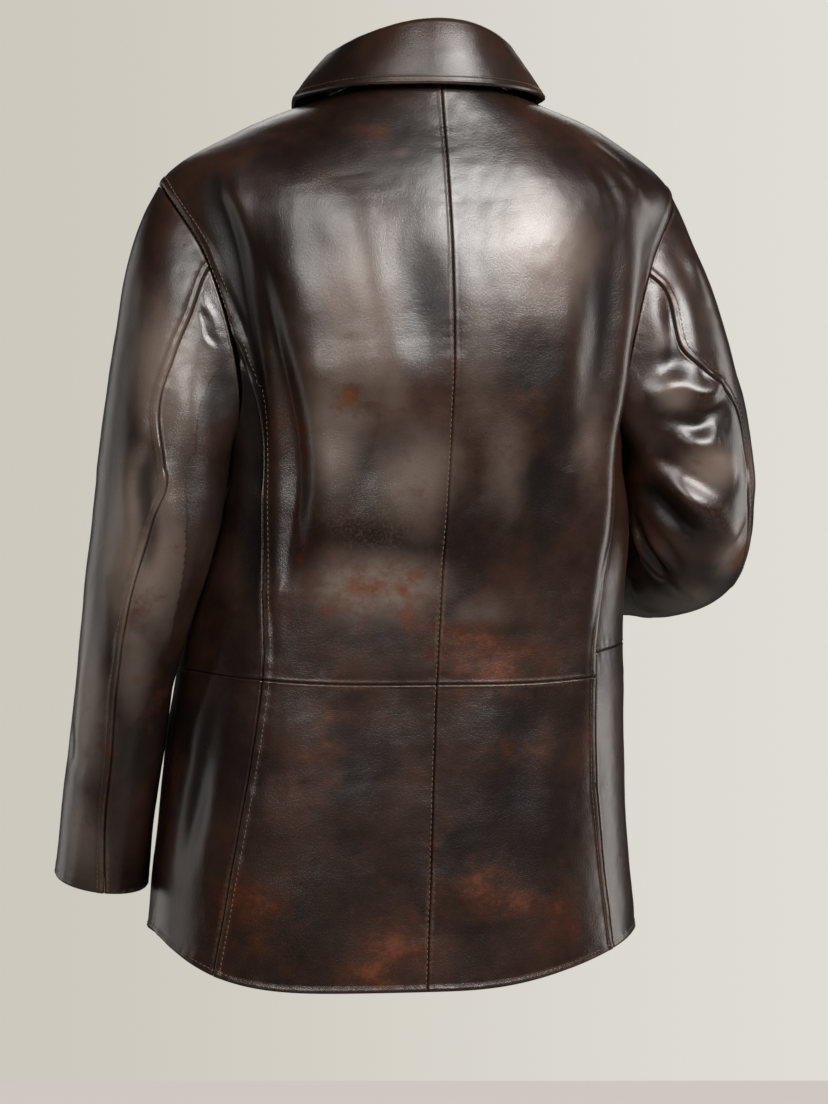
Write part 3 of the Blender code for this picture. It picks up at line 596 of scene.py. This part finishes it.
def addNode(tree, kind, inputs=None, **settings):
    # a node with its settings and inputs
    node = tree.nodes.new("ShaderNode" + kind)
    for label, value in settings.items():
        setattr(node, label, value)
    setInputs(tree, node, inputs or {})
    return node


def blend(tree, share, first, second):
    # a colour mixed between two by a share
    node = addNode(tree, "Mix", {0: share, 6: first, 7: second}, data_type="RGBA")
    return node.outputs[2]


def remap(tree, value, low, high, outLow=0.0, outHigh=1.0):
    # a value moved from one range to another, eased at both ends
    sockets = {"Value": value, "From Min": low, "From Max": high, "To Min": outLow, "To Max": outHigh}
    return addNode(tree, "MapRange", sockets, interpolation_type="SMOOTHSTEP").outputs[0]


def maths(tree, operation, first, second=0.0):
    # arithmetic on two values
    return addNode(tree, "Math", {0: first, 1: second}, operation=operation).outputs[0]


def swing(tree, value, middle, scale):
    # (value - middle) * scale
    return maths(tree, "MULTIPLY", maths(tree, "SUBTRACT", value, middle), scale)


def noise(tree, place, scale, detail, roughness=0.5):
    # cloudy noise at a scale
    sockets = {"Vector": place, "Scale": scale, "Detail": detail, "Roughness": roughness}
    return addNode(tree, "TexNoise", sockets).outputs[0]


def cells(tree, place, scale, feature):
    # distance to the middle or the edge of small cells
    return addNode(tree, "TexVoronoi", {"Vector": place, "Scale": scale}, feature=feature).outputs["Distance"]


def bump(tree, height, strength, distance, **below):
    # a bump from a height, laid over another one's normal where that is given
    sockets = {"Height": height, "Strength": strength, "Distance": distance, **below}
    return addNode(tree, "Bump", sockets).outputs[0]


leatherLook = {
    "dark": (0.0050, 0.0023, 0.0016, 1),
    "brown": (0.0220, 0.0100, 0.0058, 1),
    "worn": (0.075, 0.043, 0.029, 1),
    # pale colour of the painted highlight and of pale blotches
    "painted_sheen_and_pale_tone": (0.110, 0.084, 0.069, 1),
    "rust": (0.024, 0.0068, 0.0026, 1),
    # near black of the painted shade where folds sink
    "shade": (0.003, 0.002, 0.002, 1),
    "orange": (0.070, 0.0180, 0.0055, 1),
    "rough": 0.29,
    "grain": 0.14,
}


def leatherMaterial(name, look):
    # dark dressed leather: brown blotches, rust where it is rubbed, paler ridges, pebbled grain, crinkles;
    # painted highlight and painted shade from the painted-light spots, painted shade where folds sink
    material, tree, shader = nodeTree(name)
    place = addNode(tree, "TexCoord").outputs["Object"]
    marks = ("rub", "fade", "wear", "fold")
    rub, fade, wear, fold = (addNode(tree, "Attribute", attribute_name=n).outputs["Fac"] for n in marks)
    blotch = noise(tree, place, 9.0, 6.0, 0.62)
    brushed = addNode(tree, "Mapping", {"Vector": place, "Scale": (1.0, 1.0, 1.4)}).outputs[0]
    mottle = noise(tree, brushed, 34.0, 9.0, 0.74)
    speck = noise(tree, place, 420.0, 3.0, 0.6)
    crinkle = cells(tree, place, 300.0, "DISTANCE_TO_EDGE")
    pebble = cells(tree, place, 1100.0, "F1")
    colour = blend(tree, remap(tree, blotch, 0.34, 0.74), look["dark"], look["brown"])
    # painted highlight: the fade spots above zero, with the blotches, mix in the pale colour; below zero they
    # hold it back as painted shade, and make the leather duller further down
    paler = maths(tree, "ADD", fade, swing(tree, blotch, 0.5, 0.7))
    colour = blend(tree, remap(tree, paler, 0.12, 1.1, 0.0, 0.85), colour, look["painted_sheen_and_pale_tone"])
    ragged = maths(tree, "ADD", swing(tree, mottle, 0.5, 3.2), swing(tree, blotch, 0.5, 1.2))
    broken = maths(tree, "ADD", rub, ragged)
    # rust turns more orange under the painted highlight
    strong = maths(tree, "ADD", broken, maths(tree, "MULTIPLY", fade, 0.7))
    rusty = blend(tree, remap(tree, strong, 0.75, 1.6), look["rust"], look["orange"])
    colour = blend(tree, remap(tree, broken, 0.12, 1.05, 0.0, 0.95), colour, rusty)
    scuffed = maths(tree, "ADD", wear, swing(tree, speck, 0.55, 1.2))
    colour = blend(tree, remap(tree, scuffed, 0.35, 1.1, 0.0, 0.65), colour, look["worn"])
    # painted shade: near black where the relief sinks, in creases and seam grooves
    colour = blend(tree, remap(tree, fold, -3.0, -0.4, 0.75, 0.0), colour, look["shade"])
    rough = maths(tree, "ADD", look["rough"], swing(tree, mottle, 0.5, 0.12))
    rough = maths(tree, "ADD", rough, maths(tree, "MULTIPLY", rub, 0.04))
    rough = maths(tree, "ADD", rough, maths(tree, "MAXIMUM", maths(tree, "MULTIPLY", fade, -0.17), 0.0))
    broad = bump(tree, mottle, 0.10, 0.0005)
    middle = bump(tree, remap(tree, crinkle, 0.0, 0.12), 0.10, 0.0004, Normal=broad)
    fine = bump(tree, pebble, look["grain"], 0.00035, Normal=middle)
    setInputs(tree, shader, {"Base Color": colour, "Roughness": rough, "Normal": fine})
    shader.inputs["Specular IOR Level"].default_value = 0.38
    shader.inputs["Coat Weight"].default_value = 0.06
    shader.inputs["Coat Roughness"].default_value = 0.22
    return material


def suedeMaterial(name, first, second, rough):
    # a dull nap: two near colours in fine noise, with a soft bump
    material, tree, shader = nodeTree(name)
    place = addNode(tree, "TexCoord").outputs["Object"]
    nap, patch = noise(tree, place, 300.0, 5.0), noise(tree, place, 18.0, 3.0)
    colour = blend(tree, remap(tree, maths(tree, "ADD", nap, patch), 0.75, 1.25), first, second)
    dull = remap(tree, nap, 0.3, 0.7, rough - 0.08, rough)
    setInputs(tree, shader, {"Base Color": colour, "Roughness": dull, "Normal": bump(tree, nap, 0.4, 0.0006)})
    return material


leather = leatherMaterial("coat_leather", leatherLook)
suede = suedeMaterial("coat_inside", (0.020, 0.014, 0.011, 1), (0.045, 0.032, 0.025, 1), 0.92)
thread = suedeMaterial("tan_thread", (0.050, 0.029, 0.017, 1), (0.110, 0.066, 0.038, 1), 0.8)
horn = suedeMaterial("dark_horn", (0.020, 0.011, 0.007, 1), (0.085, 0.045, 0.024, 1), 0.34)


def dress(name, outer, normal, seams, creases, rubs, paintedLight, surface, lift=0.0):
    # leather over one solid: outer + normal * (seams + creases + waves), its marks (rust, wear, painted
    # highlight and painted shade), stitches and cut size
    shape = outer.shape[:2]
    outer = outer + normal * np.asarray(lift)[..., None]
    points, normals = outer.reshape(-1, 3), normal.reshape(-1, 3)
    relief = creaseRelief(points, normals, creases, surface) + waves(points)
    wear = np.zeros(len(points))
    for line, look, inward in seams:
        distance, along, foot = nearestOnLine(points, line)
        relief = relief + seamRelief(distance, along, look)
        wear = np.maximum(wear, 0.75 * bell(distance, 2.2, 3.4) * (0.6 + 0.4 * np.sin(along / 37)))
    wear = np.maximum(wear, 0.55 * np.clip(relief / 3.0, 0, 1))
    shaped = (points + normals * relief[:, None]).reshape(*shape, 3)
    # rub: the rust patches; fade: painted light, a painted highlight above zero and painted shade below
    rub, fade = (rubAt(points, surface, spots) for spots in (rubs, paintedLight))
    # fold: the relief, which the material darkens as painted shade where it sinks
    values = {"rub": rub, "fade": fade, "wear": wear, "fold": relief}
    piece = shell(name, shaped, normal, [leather, suede], values)
    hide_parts(name)
    tree = BVHTree.FromPolygons(shaped.reshape(-1, 3).tolist(), gridFaces(*shape)[0].tolist())
    rows = [(tree, line + inward * row) for line, look, inward in seams for row in look["rows"]]
    threads = [stitching(name + "_stitching", rows, thread)] if rows else []
    long = lineLength(outer.swapaxes(0, 1))[:, -1].max() * mm


def border(outer, normal, edge, look, first=0, last=None):
    # one side of a panel's grid as a seam: its line, its look and the way into the panel
    lines = {
        "start": (outer[:, 0], outer[:, 1], normal[:, 0]),
        "end": (outer[:, -1], outer[:, -2], normal[:, -1]),
        "foot": (outer[0], outer[1], normal[0]),
        "top": (outer[-1], outer[-2], normal[-1]),
    }
    line, inside, up = (a[first:last] for a in lines[edge])
    inward = unit(np.cross(np.gradient(line, axis=0), up))
    inward = inward * np.sign((inward * (inside - line)).sum(-1).sum())
    return line, look, inward


def degreesOf(distance, bearing, level):
    # the change of bearing that moves a point that far round its ring
    return distance / np.linalg.norm(bodyForm(bearing + 0.5, level) - bodyForm(bearing - 0.5, level), axis=-1)


def inset(bearing, toward, side, level):
    # a panel's edge moved half a seam's gap one way or the other round its ring
    return bearing + toward * degreesOf(seamGap / 2, onSide(bearing, side), level)


def acrossPanel(side, first, last, level, spacing):
    # bearings of a panel's columns between two edges given as bearings of the left half at each level
    ringLevel = level[:, None]
    first, last = (np.broadcast_to(edge, level.shape)[:, None] for edge in (first, last))
    toward = np.sign(last - first)
    first, last = inset(first, toward, side, ringLevel), inset(last, -toward, side, ringLevel)
    dense = first + (last - first) * np.linspace(0, 1, samples["across"])
    at = evenly(lineLength(bodyOuter(onSide(dense, side), ringLevel)), dense, spacing)
    return onSide(at, side), np.broadcast_to(ringLevel, at.shape)


def bodyPanel(name, bearing, level, seams, lift=0.0):
    # a panel on the body's form, its seams listed as (side of the grid, look, first row, last row)
    normal = bodyNormal(bearing, level)
    outer = bodyForm(bearing, level) + normal * wall
    lifted = outer + normal * np.asarray(lift)[..., None]
    lines = [border(lifted, normal, *seam) for seam in seams]
    return dress(name, outer, normal, lines, bodyCreases, bodyRubs, bodyPaintedLight, bodyOuter, lift)


plainSides = [("start", plainSeam), ("end", plainSeam)]
plainEnds = [("foot", plainSeam), ("top", plainSeam)]
hemmed = [("foot", hemEdge), ("top", plainSeam)]


def bodiceLevels(bearing, foot, armLevel, spacing):
    # levels of an upper panel below its armhole and above it, to the neckline
    low = levelsBetween(bearing, foot, armLevel[0], spacing)
    yoke = levelsBetween(bearing, shoulderTip, neckline, spacing)
    return low[low < armLevel[0] - 0.02], yoke[yoke > shoulderTip + 0.01]


def armholeSeams(low):
    # an upper panel's outer side: the long seam, the armhole and the shoulder, by their rows
    return [
        ("start", weltSeam, 0, low),
        ("start", doubleSeam, low, low + armSteps),
        ("start", plainSeam, low + armSteps - 1, None),
    ]


def makeBack(side):
    # upper back and its skirt: from the princess seam, armhole and shoulder to the centre back
    armBearing, armLevel = armhole(np.linspace(princessJoin, 0, armSteps))
    low, yoke = bodiceLevels(onSide(60, side), waist, armLevel, pitch["back"])
    level = np.concatenate([low, armLevel, yoke])
    edge = np.concatenate([princess(low), armBearing, np.zeros(len(yoke))])
    grid = acrossPanel(side, edge, 90.0, level, pitch["back"])
    centre = ("end", edgeSeam if side == "left" else plainSeam)
    bodyPanel(f"back_{side}", *grid, [centre, *armholeSeams(len(low)), *plainEnds])
    skirt = levelsBetween(onSide(60, side), hem, waist, pitch["skirt"])
    grid = acrossPanel(side, princess(skirt), 90.0, skirt, pitch["skirt"])
    bodyPanel(f"back_skirt_{side}", *grid, [centre, ("start", weltSeam), *hemmed])


def makeSide(side):
    # side panel under the arm, its top cut to the armhole, and the skirt panel below it
    angle = np.linspace(sideJoin, princessJoin, samples["armhole"])
    armBearing, armTop = armhole(angle)
    length = lineLength(bodyOuter(onSide(armBearing, side), armTop))
    columnBearing, top = armhole(evenly(length, angle, pitch["skirt"]))
    across = (columnBearing - sideLine(top)) / (princess(top) - sideLine(top))
    middle = onSide(0, side)
    foot = sideWaist[side]
    rise = (levelsBetween(middle, foot, top.min(), pitch["skirt"]) - foot) / (top.min() - foot)
    level = foot + (top - foot) * rise[:, None]
    front, back = inset(sideLine(level), 1, side, level), inset(princess(level), -1, side, level)
    bearing = onSide(front + (back - front) * across, side)
    bodyPanel(f"side_{side}", bearing, level, plainSides + plainEnds)
    skirt = levelsBetween(middle, hem, foot, pitch["skirt"])
    grid = acrossPanel(side, sideLine(skirt), princess(skirt), skirt, pitch["skirt"])
    bodyPanel(f"side_skirt_{side}", *grid, plainSides + hemmed)


lap = {"wide": 18.0, "levels": (8.4, 8.9, 9.5), "rise": 3.0, "bearings": (225, 255)}


def makeFront(side):
    # one front and its skirt panel, out to an edge past the centre; the right laps the left. Their waist seam
    # runs from the side panel's level to the back's: level + (waist - side's level) * share across, fading up
    armBearing, armLevel = armhole(np.linspace(sideJoin, 360, armSteps))
    foot = sideWaist[side]
    low, yoke = bodiceLevels(onSide(-60, side), foot, armLevel, pitch["front"])
    bodice = np.concatenate([low, armLevel, yoke])
    edge = np.concatenate([sideLine(low), armBearing, np.zeros(len(yoke))])
    skirt = levelsBetween(onSide(-60, side), hem, foot, pitch["front"])
    fade = np.clip((armLevel[0] - bodice) / (armLevel[0] - foot), 0, 1)
    whole, narrow, gone = lap["levels"]
    sewn = [*armholeSeams(len(low)), ("end", hemEdge), *plainEnds]
    below = [("start", weltSeam), ("end", hemEdge), *hemmed]
    for name, sideLevel, outer, shift, seams in (
        (f"front_{side}", bodice, edge, fade, sewn),
        (f"front_skirt_{side}", skirt, sideLine(skirt), skirt / foot, below),
    ):
        past = degreesOf(lap["wide"] * ease((narrow - sideLevel) / (narrow - whole)), -90, sideLevel)
        bearing, level = acrossPanel(side, outer, -90 - past, sideLevel, pitch["front"])
        share = (bearing - bearing[:, :1]) / (bearing[:, -1:] - bearing[:, :1])
        level = level + (waist - foot) * shift[:, None] * share
        lift = 0.0
        if side == "right":
            start, end = lap["bearings"]
            lift = lap["rise"] * ease((bearing - start) / (end - start))
            lift = lift * ease((gone - level) / (gone - narrow))
        bodyPanel(name, bearing, level, seams, lift)


for side in ("left", "right"):
    makeBack(side)
    makeSide(side)
    makeFront(side)
print("body dressed")

# Rings of each sleeve below its cap, as in the solids: middle, half sizes, turn and the back seam's angle.
sleeveNames = ("x", "y", "z", "out", "deep", "twist", "seam")
sleeveRows = {
    "left": (
        (223.5, 9, -330, 50.5, 61, 24, 54),
        (229.5, 12, -378, 44.5, 61, 28, 40),
        (243, 6, -440, 42, 55, 20, 46),
        (253, -6, -508, 38.5, 51, 8, 63),
        (258, -17, -560, 37.5, 50, 4, 71),
        (262.5, -28, -612, 37, 50, 0, 77),
        (267, -40, -672, 37, 49, 0, 86),
    ),
    "right": (
        (-234.5, 10, -322, 55.5, 58, 0, 42),
        (-238, 10, -346, 55, 56, 0, 45),
        (-240.5, 2, -374, 54.5, 53, 0, 44),
        (-240, -19, -395, 53, 50, 0, 42),
        (-233, -48, -403, 50, 48, 0, 39),
        (-215, -102, -404, 48, 46, 0, 36),
        (-185, -158, -405, 46, 45, 0, 33),
        (-146, -216, -408, 45, 45, 0, 30),
    ),
}
sleeveCut = {
    "back": 75,
    "front": 240,
    "leave": (0.5, 0.22, -0.84),
    "pull": (0.85, 0.95),
    "gap": 0.6,
    "radius": 35,
}


def sleeveTable(side):
    # the rings' centres and sizes, and each one's directions along, outward and backward
    table = dict(zip(sleeveNames, np.array(sleeveRows[side], float).T))
    middle = np.stack([table[axis] for axis in "xyz"], axis=-1)
    along = unit(np.gradient(middle, axis=0))
    outward = np.zeros_like(along)
    direction = np.array([1.0 if side == "left" else -1.0, 0, 0])
    for ring, axis in enumerate(along):
        direction = unit(direction - axis * (direction @ axis))
        outward[ring] = direction
    backward = np.cross(along, outward) * (-1 if side == "left" else 1)
    cosine, sine = circle(table["twist"][:, None])
    table["outward"] = outward * cosine + backward * sine
    table["backward"] = backward * cosine - outward * sine
    table["middle"], table["along"] = middle, along
    return table


sleeveRings = {side: sleeveTable(side) for side in ("left", "right")}


def tubePoint(side, angle, step):
    # a point below the cap: middle + out * cos * outward + deep * sin * backward
    rings = sleeveRings[side]
    knots = np.arange(len(rings["seam"]))

    def at(name):
        values = rings[name]
        if values.ndim == 1:
            return smoothThrough(knots, values, step)[..., None]
        return np.stack([smoothThrough(knots, values[:, axis], step) for axis in range(3)], axis=-1)

    out, back = circle(angle[..., None])
    return at("middle") + at("out") * out * at("outward") + at("deep") * back * at("backward")


def armholePlace(side, angle):
    # bearing and level of the armhole's edge on either side
    bearing, level = armhole(angle)
    return onSide(bearing, side), level


def wallStart(edge, normal, inward, leave):
    # where the sleeve starts, its wall clear of the panel's: ahead of the edge, or on top where it folds back
    gap = sleeveCut["gap"]
    rise = (leave * normal).sum(-1, keepdims=True)
    ahead = (leave * inward).sum(-1, keepdims=True)
    away = inward * ahead + normal * rise
    reach = np.linalg.norm(away, axis=-1, keepdims=True)
    rise, ahead = np.clip(rise / reach, 0, 0.999), ahead / reach
    flat = np.sqrt(1 - rise**2)
    over = (wall * (1 - flat) + gap) / np.maximum(rise, 0.001)
    beside = (wall * rise + gap) / flat
    forward = edge + away / reach * np.maximum((wall + gap) * rise, np.minimum(over, beside))
    folded = edge + normal * (wall + gap + wall * np.clip(-ahead, 0, 1))
    return np.where(ahead > 0, forward, folded)


def sleeveForm(side, angle, step):
    # a sleeve's inner face: a cubic cap from the armhole at step -1 to the first ring at 0, then the tube
    angle, step = np.broadcast_arrays(np.asarray(angle, float), np.asarray(step, float))
    rings = sleeveRings[side]
    mirror = np.array([1 if side == "left" else -1, 1, 1])
    behind = circle(angle)[1]
    outWay, backWay, upWay = sleeveCut["leave"]
    leave = np.stack([np.full_like(behind, outWay), backWay * behind, np.full_like(behind, upWay)], -1)
    leave = unit(leave) * mirror
    place = armholePlace(side, angle)
    edge, normal = bodyForm(*place), bodyNormal(*place)
    ahead = bodyForm(*armholePlace(side, angle + 1)) - bodyForm(*armholePlace(side, angle - 1))
    start = wallStart(edge, normal, unit(np.cross(ahead, normal)) * mirror[0], leave)
    jump = tubePoint(side, angle, np.zeros_like(step)) - start
    reach = np.linalg.norm(jump, axis=-1, keepdims=True)
    pull = sleeveCut["pull"]
    pullStart, pullEnd = leave * reach * pull[0], rings["along"][0] * reach * pull[1]
    t = np.clip(step + 1, 0, 1)[..., None]
    cap = start + cubic(t, jump, pullStart, pullEnd)
    return np.where(step[..., None] < 0, cap, tubePoint(side, angle, np.maximum(step, 0)))


capSeam = {  # the back seam's angle on the cap: step, angle
    "left": ((-0.7, 72), (-0.45, 60), (-0.2, 47)),
    "right": ((-0.8, 71), (-0.6, 78), (-0.4, 66), (-0.2, 46)),
}


def makeSleeve(side):
    # top sleeve outside the arm and under sleeve inside it, their columns spread between the two long seams
    rings = sleeveRings[side]
    last = len(rings["seam"]) - 1
    sign = -1 if side == "left" else 1

    def face(angle, step):
        # the solids' outer face of the sleeve: the form plus a wall along its normal
        normal = slopeNormal(lambda a, b: sleeveForm(side, a, b), angle, step, -1, last) * sign
        return sleeveForm(side, angle, step) + normal * wall, normal

    def outerFace(angle, step):
        # the same without its normal
        return face(angle, step)[0]

    dense = np.linspace(-1, last, samples["sleeve"])
    steps = evenly(lineLength(outerFace(np.full_like(dense, 60.0), dense)), dense, pitch["sleeve"])
    capSteps, capAngles = zip(*capSeam[side])
    seamKnots = np.concatenate([[-1], capSteps, np.arange(last + 1)])
    seamAngles = np.concatenate([[sleeveCut["back"]], capAngles, rings["seam"]])
    backSeam = smoothThrough(seamKnots, seamAngles, steps)
    for piece, first, final in (
        ("top", np.full_like(steps, sleeveCut["front"] - 360), backSeam),
        ("under", backSeam, np.full_like(steps, sleeveCut["front"])),
    ):
        gap = np.degrees(0.5 * seamGap / sleeveCut["radius"])
        share = np.linspace(0, 1, samples["round"])
        columns = first[:, None] + gap + (final - first - 2 * gap)[:, None] * share
        angle = evenly(lineLength(outerFace(columns, steps[:, None])), columns, pitch["sleeve"])
        outer, normal = face(angle, np.broadcast_to(steps[:, None], angle.shape))
        back = ("end", weltSeam) if piece == "top" else ("end", plainSeam)
        edges = [back, ("start", plainSeam), ("foot", plainSeam), ("top", cuffEdge)]
        seams = [border(outer, normal, *edge) for edge in edges]
        marks = sleeveCreases[side], sleeveRubs[side], sleevePaintedLight[side]
        dress(f"sleeve_{piece}_{side}", outer, normal, seams, *marks, outerFace)


for side in ("left", "right"):
    makeSleeve(side)
print("sleeves dressed")

# The collar's measures as in the solids, the first four at the back, side and front.
collarSize = {
    "stand": (49, 38, 30),
    "lean": (5, 3, 4),
    "edgeLevel": (9.74, 9.7, 8.45),
    "edgeLift": (9, 7, 7),
    "pointSpread": 15,
    "roll": 4.5,
    "foot": 1.4,
    "end": 8.0,
    "layer": 1.4,
    "bulge": 1.5,
    "rows": (14, 9),  # on the stand and over the crown
    "fall": (62.0, 12),  # its length, and its rows between the seams' steps
}


def collarMeasure(name, bearing):
    # a measure at a bearing: the side's, moved towards the back's or front's by sin^2
    back, side, front = collarSize[name]
    along = circle(bearing)[1]
    return (side + (np.where(along > 0, back, front) - side) * along**2)[:, None]


def squareTo(line, toward):
    # the part of a direction at right angles to a line
    line = unit(line)
    return unit(toward - line * (toward * line).sum(-1, keepdims=True))


def collarGrid(bearing, offset, bulge):
    # the turned band, a distance off its core line: stand, half turn over the crown, slightly full fall
    roll = collarSize["roll"]
    neck = bodyForm(bearing, neckline)
    ahead = bodyForm(bearing + 1, neckline) - bodyForm(bearing - 1, neckline)
    out = unit(np.cross(ahead, [0, 0, 1.0]))
    up = unit(unit(np.cross(out, ahead)) + np.array([0, 0, 1.0]))
    foot = neck + out * roll + up * (wall + collarSize["foot"])
    lean, high = collarMeasure("lean", bearing), collarMeasure("stand", bearing)
    crown = neck + out * (roll - lean) + up * (high - roll)
    across, along = circle(bearing)
    turn = np.sign(across) * np.clip(-along, 0, 1) ** 6
    edgeAt, level = bearing + collarSize["pointSpread"] * turn, collarMeasure("edgeLevel", bearing)[:, 0]
    edge = bodyForm(edgeAt, level) + bodyNormal(edgeAt, level) * collarMeasure("edgeLift", bearing)
    standSide, fallSide = squareTo(crown - foot, -out), squareTo(edge - crown, out + 0.5 * up)
    start, end = (
        np.arctan2((way * up).sum(-1), (way * out).sum(-1))[:, None] % (2 * np.pi)
        for way in (standSide, fallSide)
    )
    standShares, turnShares = (np.linspace(0, 1, count)[:-1] for count in collarSize["rows"])
    rows = [foot + (crown - foot) * s + standSide * offset for s in standShares]
    for s in turnShares:
        angle = start + (end - start) * s
        rows.append(crown + (out * np.cos(angle) + up * np.sin(angle)) * offset)
    for s in 1 - spread(*collarSize["fall"])[0][::-1]:
        rows.append(crown + (edge - crown) * s + fallSide * (offset + bulge * np.sin(np.pi * s)))
    return np.stack(rows)


collarRubs = [
    (60, 9.6, 26, 16, 0.45), (118, 9.8, 22, 9, 0.35), (200, 9.4, 16, 12, 0.4), (-30, 9.4, 16, 12, 0.4),
]
# painted shade: the collar's middle darker and dull
collarPaintedLight = [(76, 9.6, 70, 40, -0.9)]


def makeCollar():
    # top collar, and the under collar folded inside it; the grid's normal comes from its own differences
    end, offset = collarSize["end"], collarSize["roll"]
    dense = np.linspace(end - 90, 270 - end, samples["collar"])
    bearing = evenly(lineLength(collarGrid(dense, offset, 0.0)[-1]), dense, pitch["collar"])
    for name in ("collar_top", "collar_under"):
        outer = collarGrid(bearing, offset, collarSize["bulge"])
        core = collarGrid(bearing, offset - 1.0, collarSize["bulge"])
        normal = gridNormal(outer, outer - core)
        look = collarEdge if name == "collar_top" else cuffEdge
        seams = [border(outer, normal, edge, look) for edge in ("top", "start", "end")]
        seams.append(border(outer, normal, "foot", plainSeam))
        dress(name, outer, normal, seams, [], collarRubs, collarPaintedLight, bodyOuter)
        offset = offset - collarSize["layer"] - seamGap


makeCollar()
print("collar dressed")

# A button: its outline turned round its axis, radius and height in mm.
buttonOutline = (
    (0.0, 0.6), (5.4, 0.6), (6.2, 0.9), (6.9, 1.7), (7.8, 2.1), (9.0, 1.9), (9.8, 1.1), (10.0, 0.1),
    (9.7, -0.9), (8.6, -1.6), (0.0, -1.7),
)
button = {"levels": (7.4, 6.1, 4.8, 3.4, 2.0), "sides": 40, "lift": 1.8}


def makeButtons():
    # plain turned buttons on the right front: the outline spun round the front's outward direction
    outline = np.array(buttonOutline)
    inner = outline[1:-1]
    quads, index, following = ringFaces(len(inner), button["sides"])
    turn = np.linspace(0, 2 * np.pi, button["sides"], endpoint=False)
    for number, level in enumerate(button["levels"], 1):
        up = bodyNormal(270.0, level)
        middle = bodyForm(270.0, level) + up * (lap["rise"] + wall + seamGap + button["lift"])
        right = unit(np.cross([0, 0, 1.0], up))
        ahead = np.cross(up, right)
        ring = right * np.cos(turn)[:, None] + ahead * np.sin(turn)[:, None]
        points = (middle + ring[None] * inner[:, 0, None, None] + up * inner[:, 1, None, None]).reshape(-1, 3)
        points = np.concatenate([points, [middle + up * outline[0, 1]], [middle + up * outline[-1, 1]]])
        faces = quads[:, ::-1].tolist()
        faces += [(index.size, a, b) for a, b in zip(index[0].tolist(), following[0].tolist())]
        faces += [(index.size + 1, b, a) for a, b in zip(index[-1].tolist(), following[-1].tolist())]
        piece = newPiece(f"button_{number}_turned", points, faces, "horn", horn)
        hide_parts(f"button_{number}")


makeButtons()
print("buttons made")


target = Vector((0.004, 0.0, -0.396))
away, rightward, upward = Vector((0.22495, 0.97437, 0)), Vector((-0.97437, 0.22495, 0)), Vector((0, 0, 1))
studio = (  # name, metres away, right and up, width and height, power, colour
    ("key", 1.76, 1.56, 1.44, (1.6, 0.9), 132, (1.0, 0.975, 0.95)),
    ("second", 2.30, -0.36, 1.28, (1.1, 1.1), 52, (1.0, 0.97, 0.94)),
    ("front_fill", -2.1, 0.1, 1.7, (1.8, 1.1), 13, (1.0, 0.97, 0.94)),
    ("left_fill", -0.15, -2.5, 0.1, (1.0, 1.6), 7, (1.0, 0.96, 0.92)),
    ("right_edge", -0.7, 2.2, 0.1, (0.9, 1.8), 23, (1.0, 0.955, 0.91)),
    ("left_edge", -1.3, -1.9, 0.1, (1.1, 1.8), 7, (1.0, 0.955, 0.91)),
)
room = {"camera": 3.12, "drop": 1.50, "depth": 4.5, "wide": 6}


def stand(name, data, offset):
    # an object at an offset from the target, turned to face it
    thing = bpy.data.objects.new(name, data)
    thing.location = target + offset
    thing.rotation_mode = "QUATERNION"
    thing.rotation_quaternion = (-offset).to_track_quat("-Z", "Y")
    bpy.context.scene.collection.objects.link(thing)
    return thing


for name, back, right, up, size, power, colour in studio:
    lamp = bpy.data.lights.new(name, "AREA")
    lamp.shape, (lamp.size, lamp.size_y), lamp.energy, lamp.color = "RECTANGLE", size, power, colour
    stand(name, lamp, away * back + rightward * right + upward * up)
camera = stand("camera", bpy.data.cameras.new("camera"), away * room["camera"])
camera.data.lens, camera.data.sensor_width = 119, 36
bpy.context.scene.camera = camera

floorMesh = bpy.data.meshes.new("floor")
backward, across = away * room["depth"], rightward * room["wide"]
corners = [target - backward * a + across * b for a in (1, -1) for b in (-1, 1)]
floorMesh.from_pydata([(x, y, -room["drop"]) for x, y, z in corners], [], [(0, 1, 3, 2)])
floor = bpy.data.objects.new("floor", floorMesh)
bpy.context.scene.collection.objects.link(floor)
floorMaterial, floorTree, floorShader = nodeTree("pale_floor")
floorNoise = noise(floorTree, addNode(floorTree, "TexCoord").outputs["Object"], 3.0, 2.0)
floorColour = blend(floorTree, floorNoise, (0.21, 0.20, 0.18, 1), (0.23, 0.22, 0.20, 1))
floorTree.links.new(floorColour, floorShader.inputs["Base Color"])
floorSeen = addNode(floorTree, "LightPath").outputs["Is Camera Ray"]
floorTree.links.new(maths(floorTree, "MULTIPLY", floorSeen, 0.58), floorShader.inputs["Emission Strength"])
floorShader.inputs["Emission Color"].default_value = (1.0, 0.93, 0.86, 1)
floorShader.inputs["Roughness"].default_value = 0.9
floorMesh.materials.append(floorMaterial)

world = bpy.data.worlds.new("studio")
bpy.context.scene.world = world
world.use_nodes = True
sky = world.node_tree
background = sky.nodes["Background"]
# camera rays see a pale backdrop with painted light, lighter towards the right; other rays see a dim grey
seen = addNode(sky, "LightPath").outputs["Is Camera Ray"]
ray = addNode(sky, "TexCoord").outputs["Generated"]
across = addNode(sky, "VectorMath", {0: ray, 1: rightward}, operation="DOT_PRODUCT").outputs["Value"]
pale = blend(sky, remap(sky, across, -0.13, 0.13), (0.605, 0.578, 0.515, 1), (0.745, 0.722, 0.662, 1))
sky.links.new(blend(sky, seen, (0.030, 0.029, 0.028, 1), pale), background.inputs["Color"])
background.inputs["Strength"].default_value = 1.0
bpy.context.scene.view_settings.view_transform = "Standard"
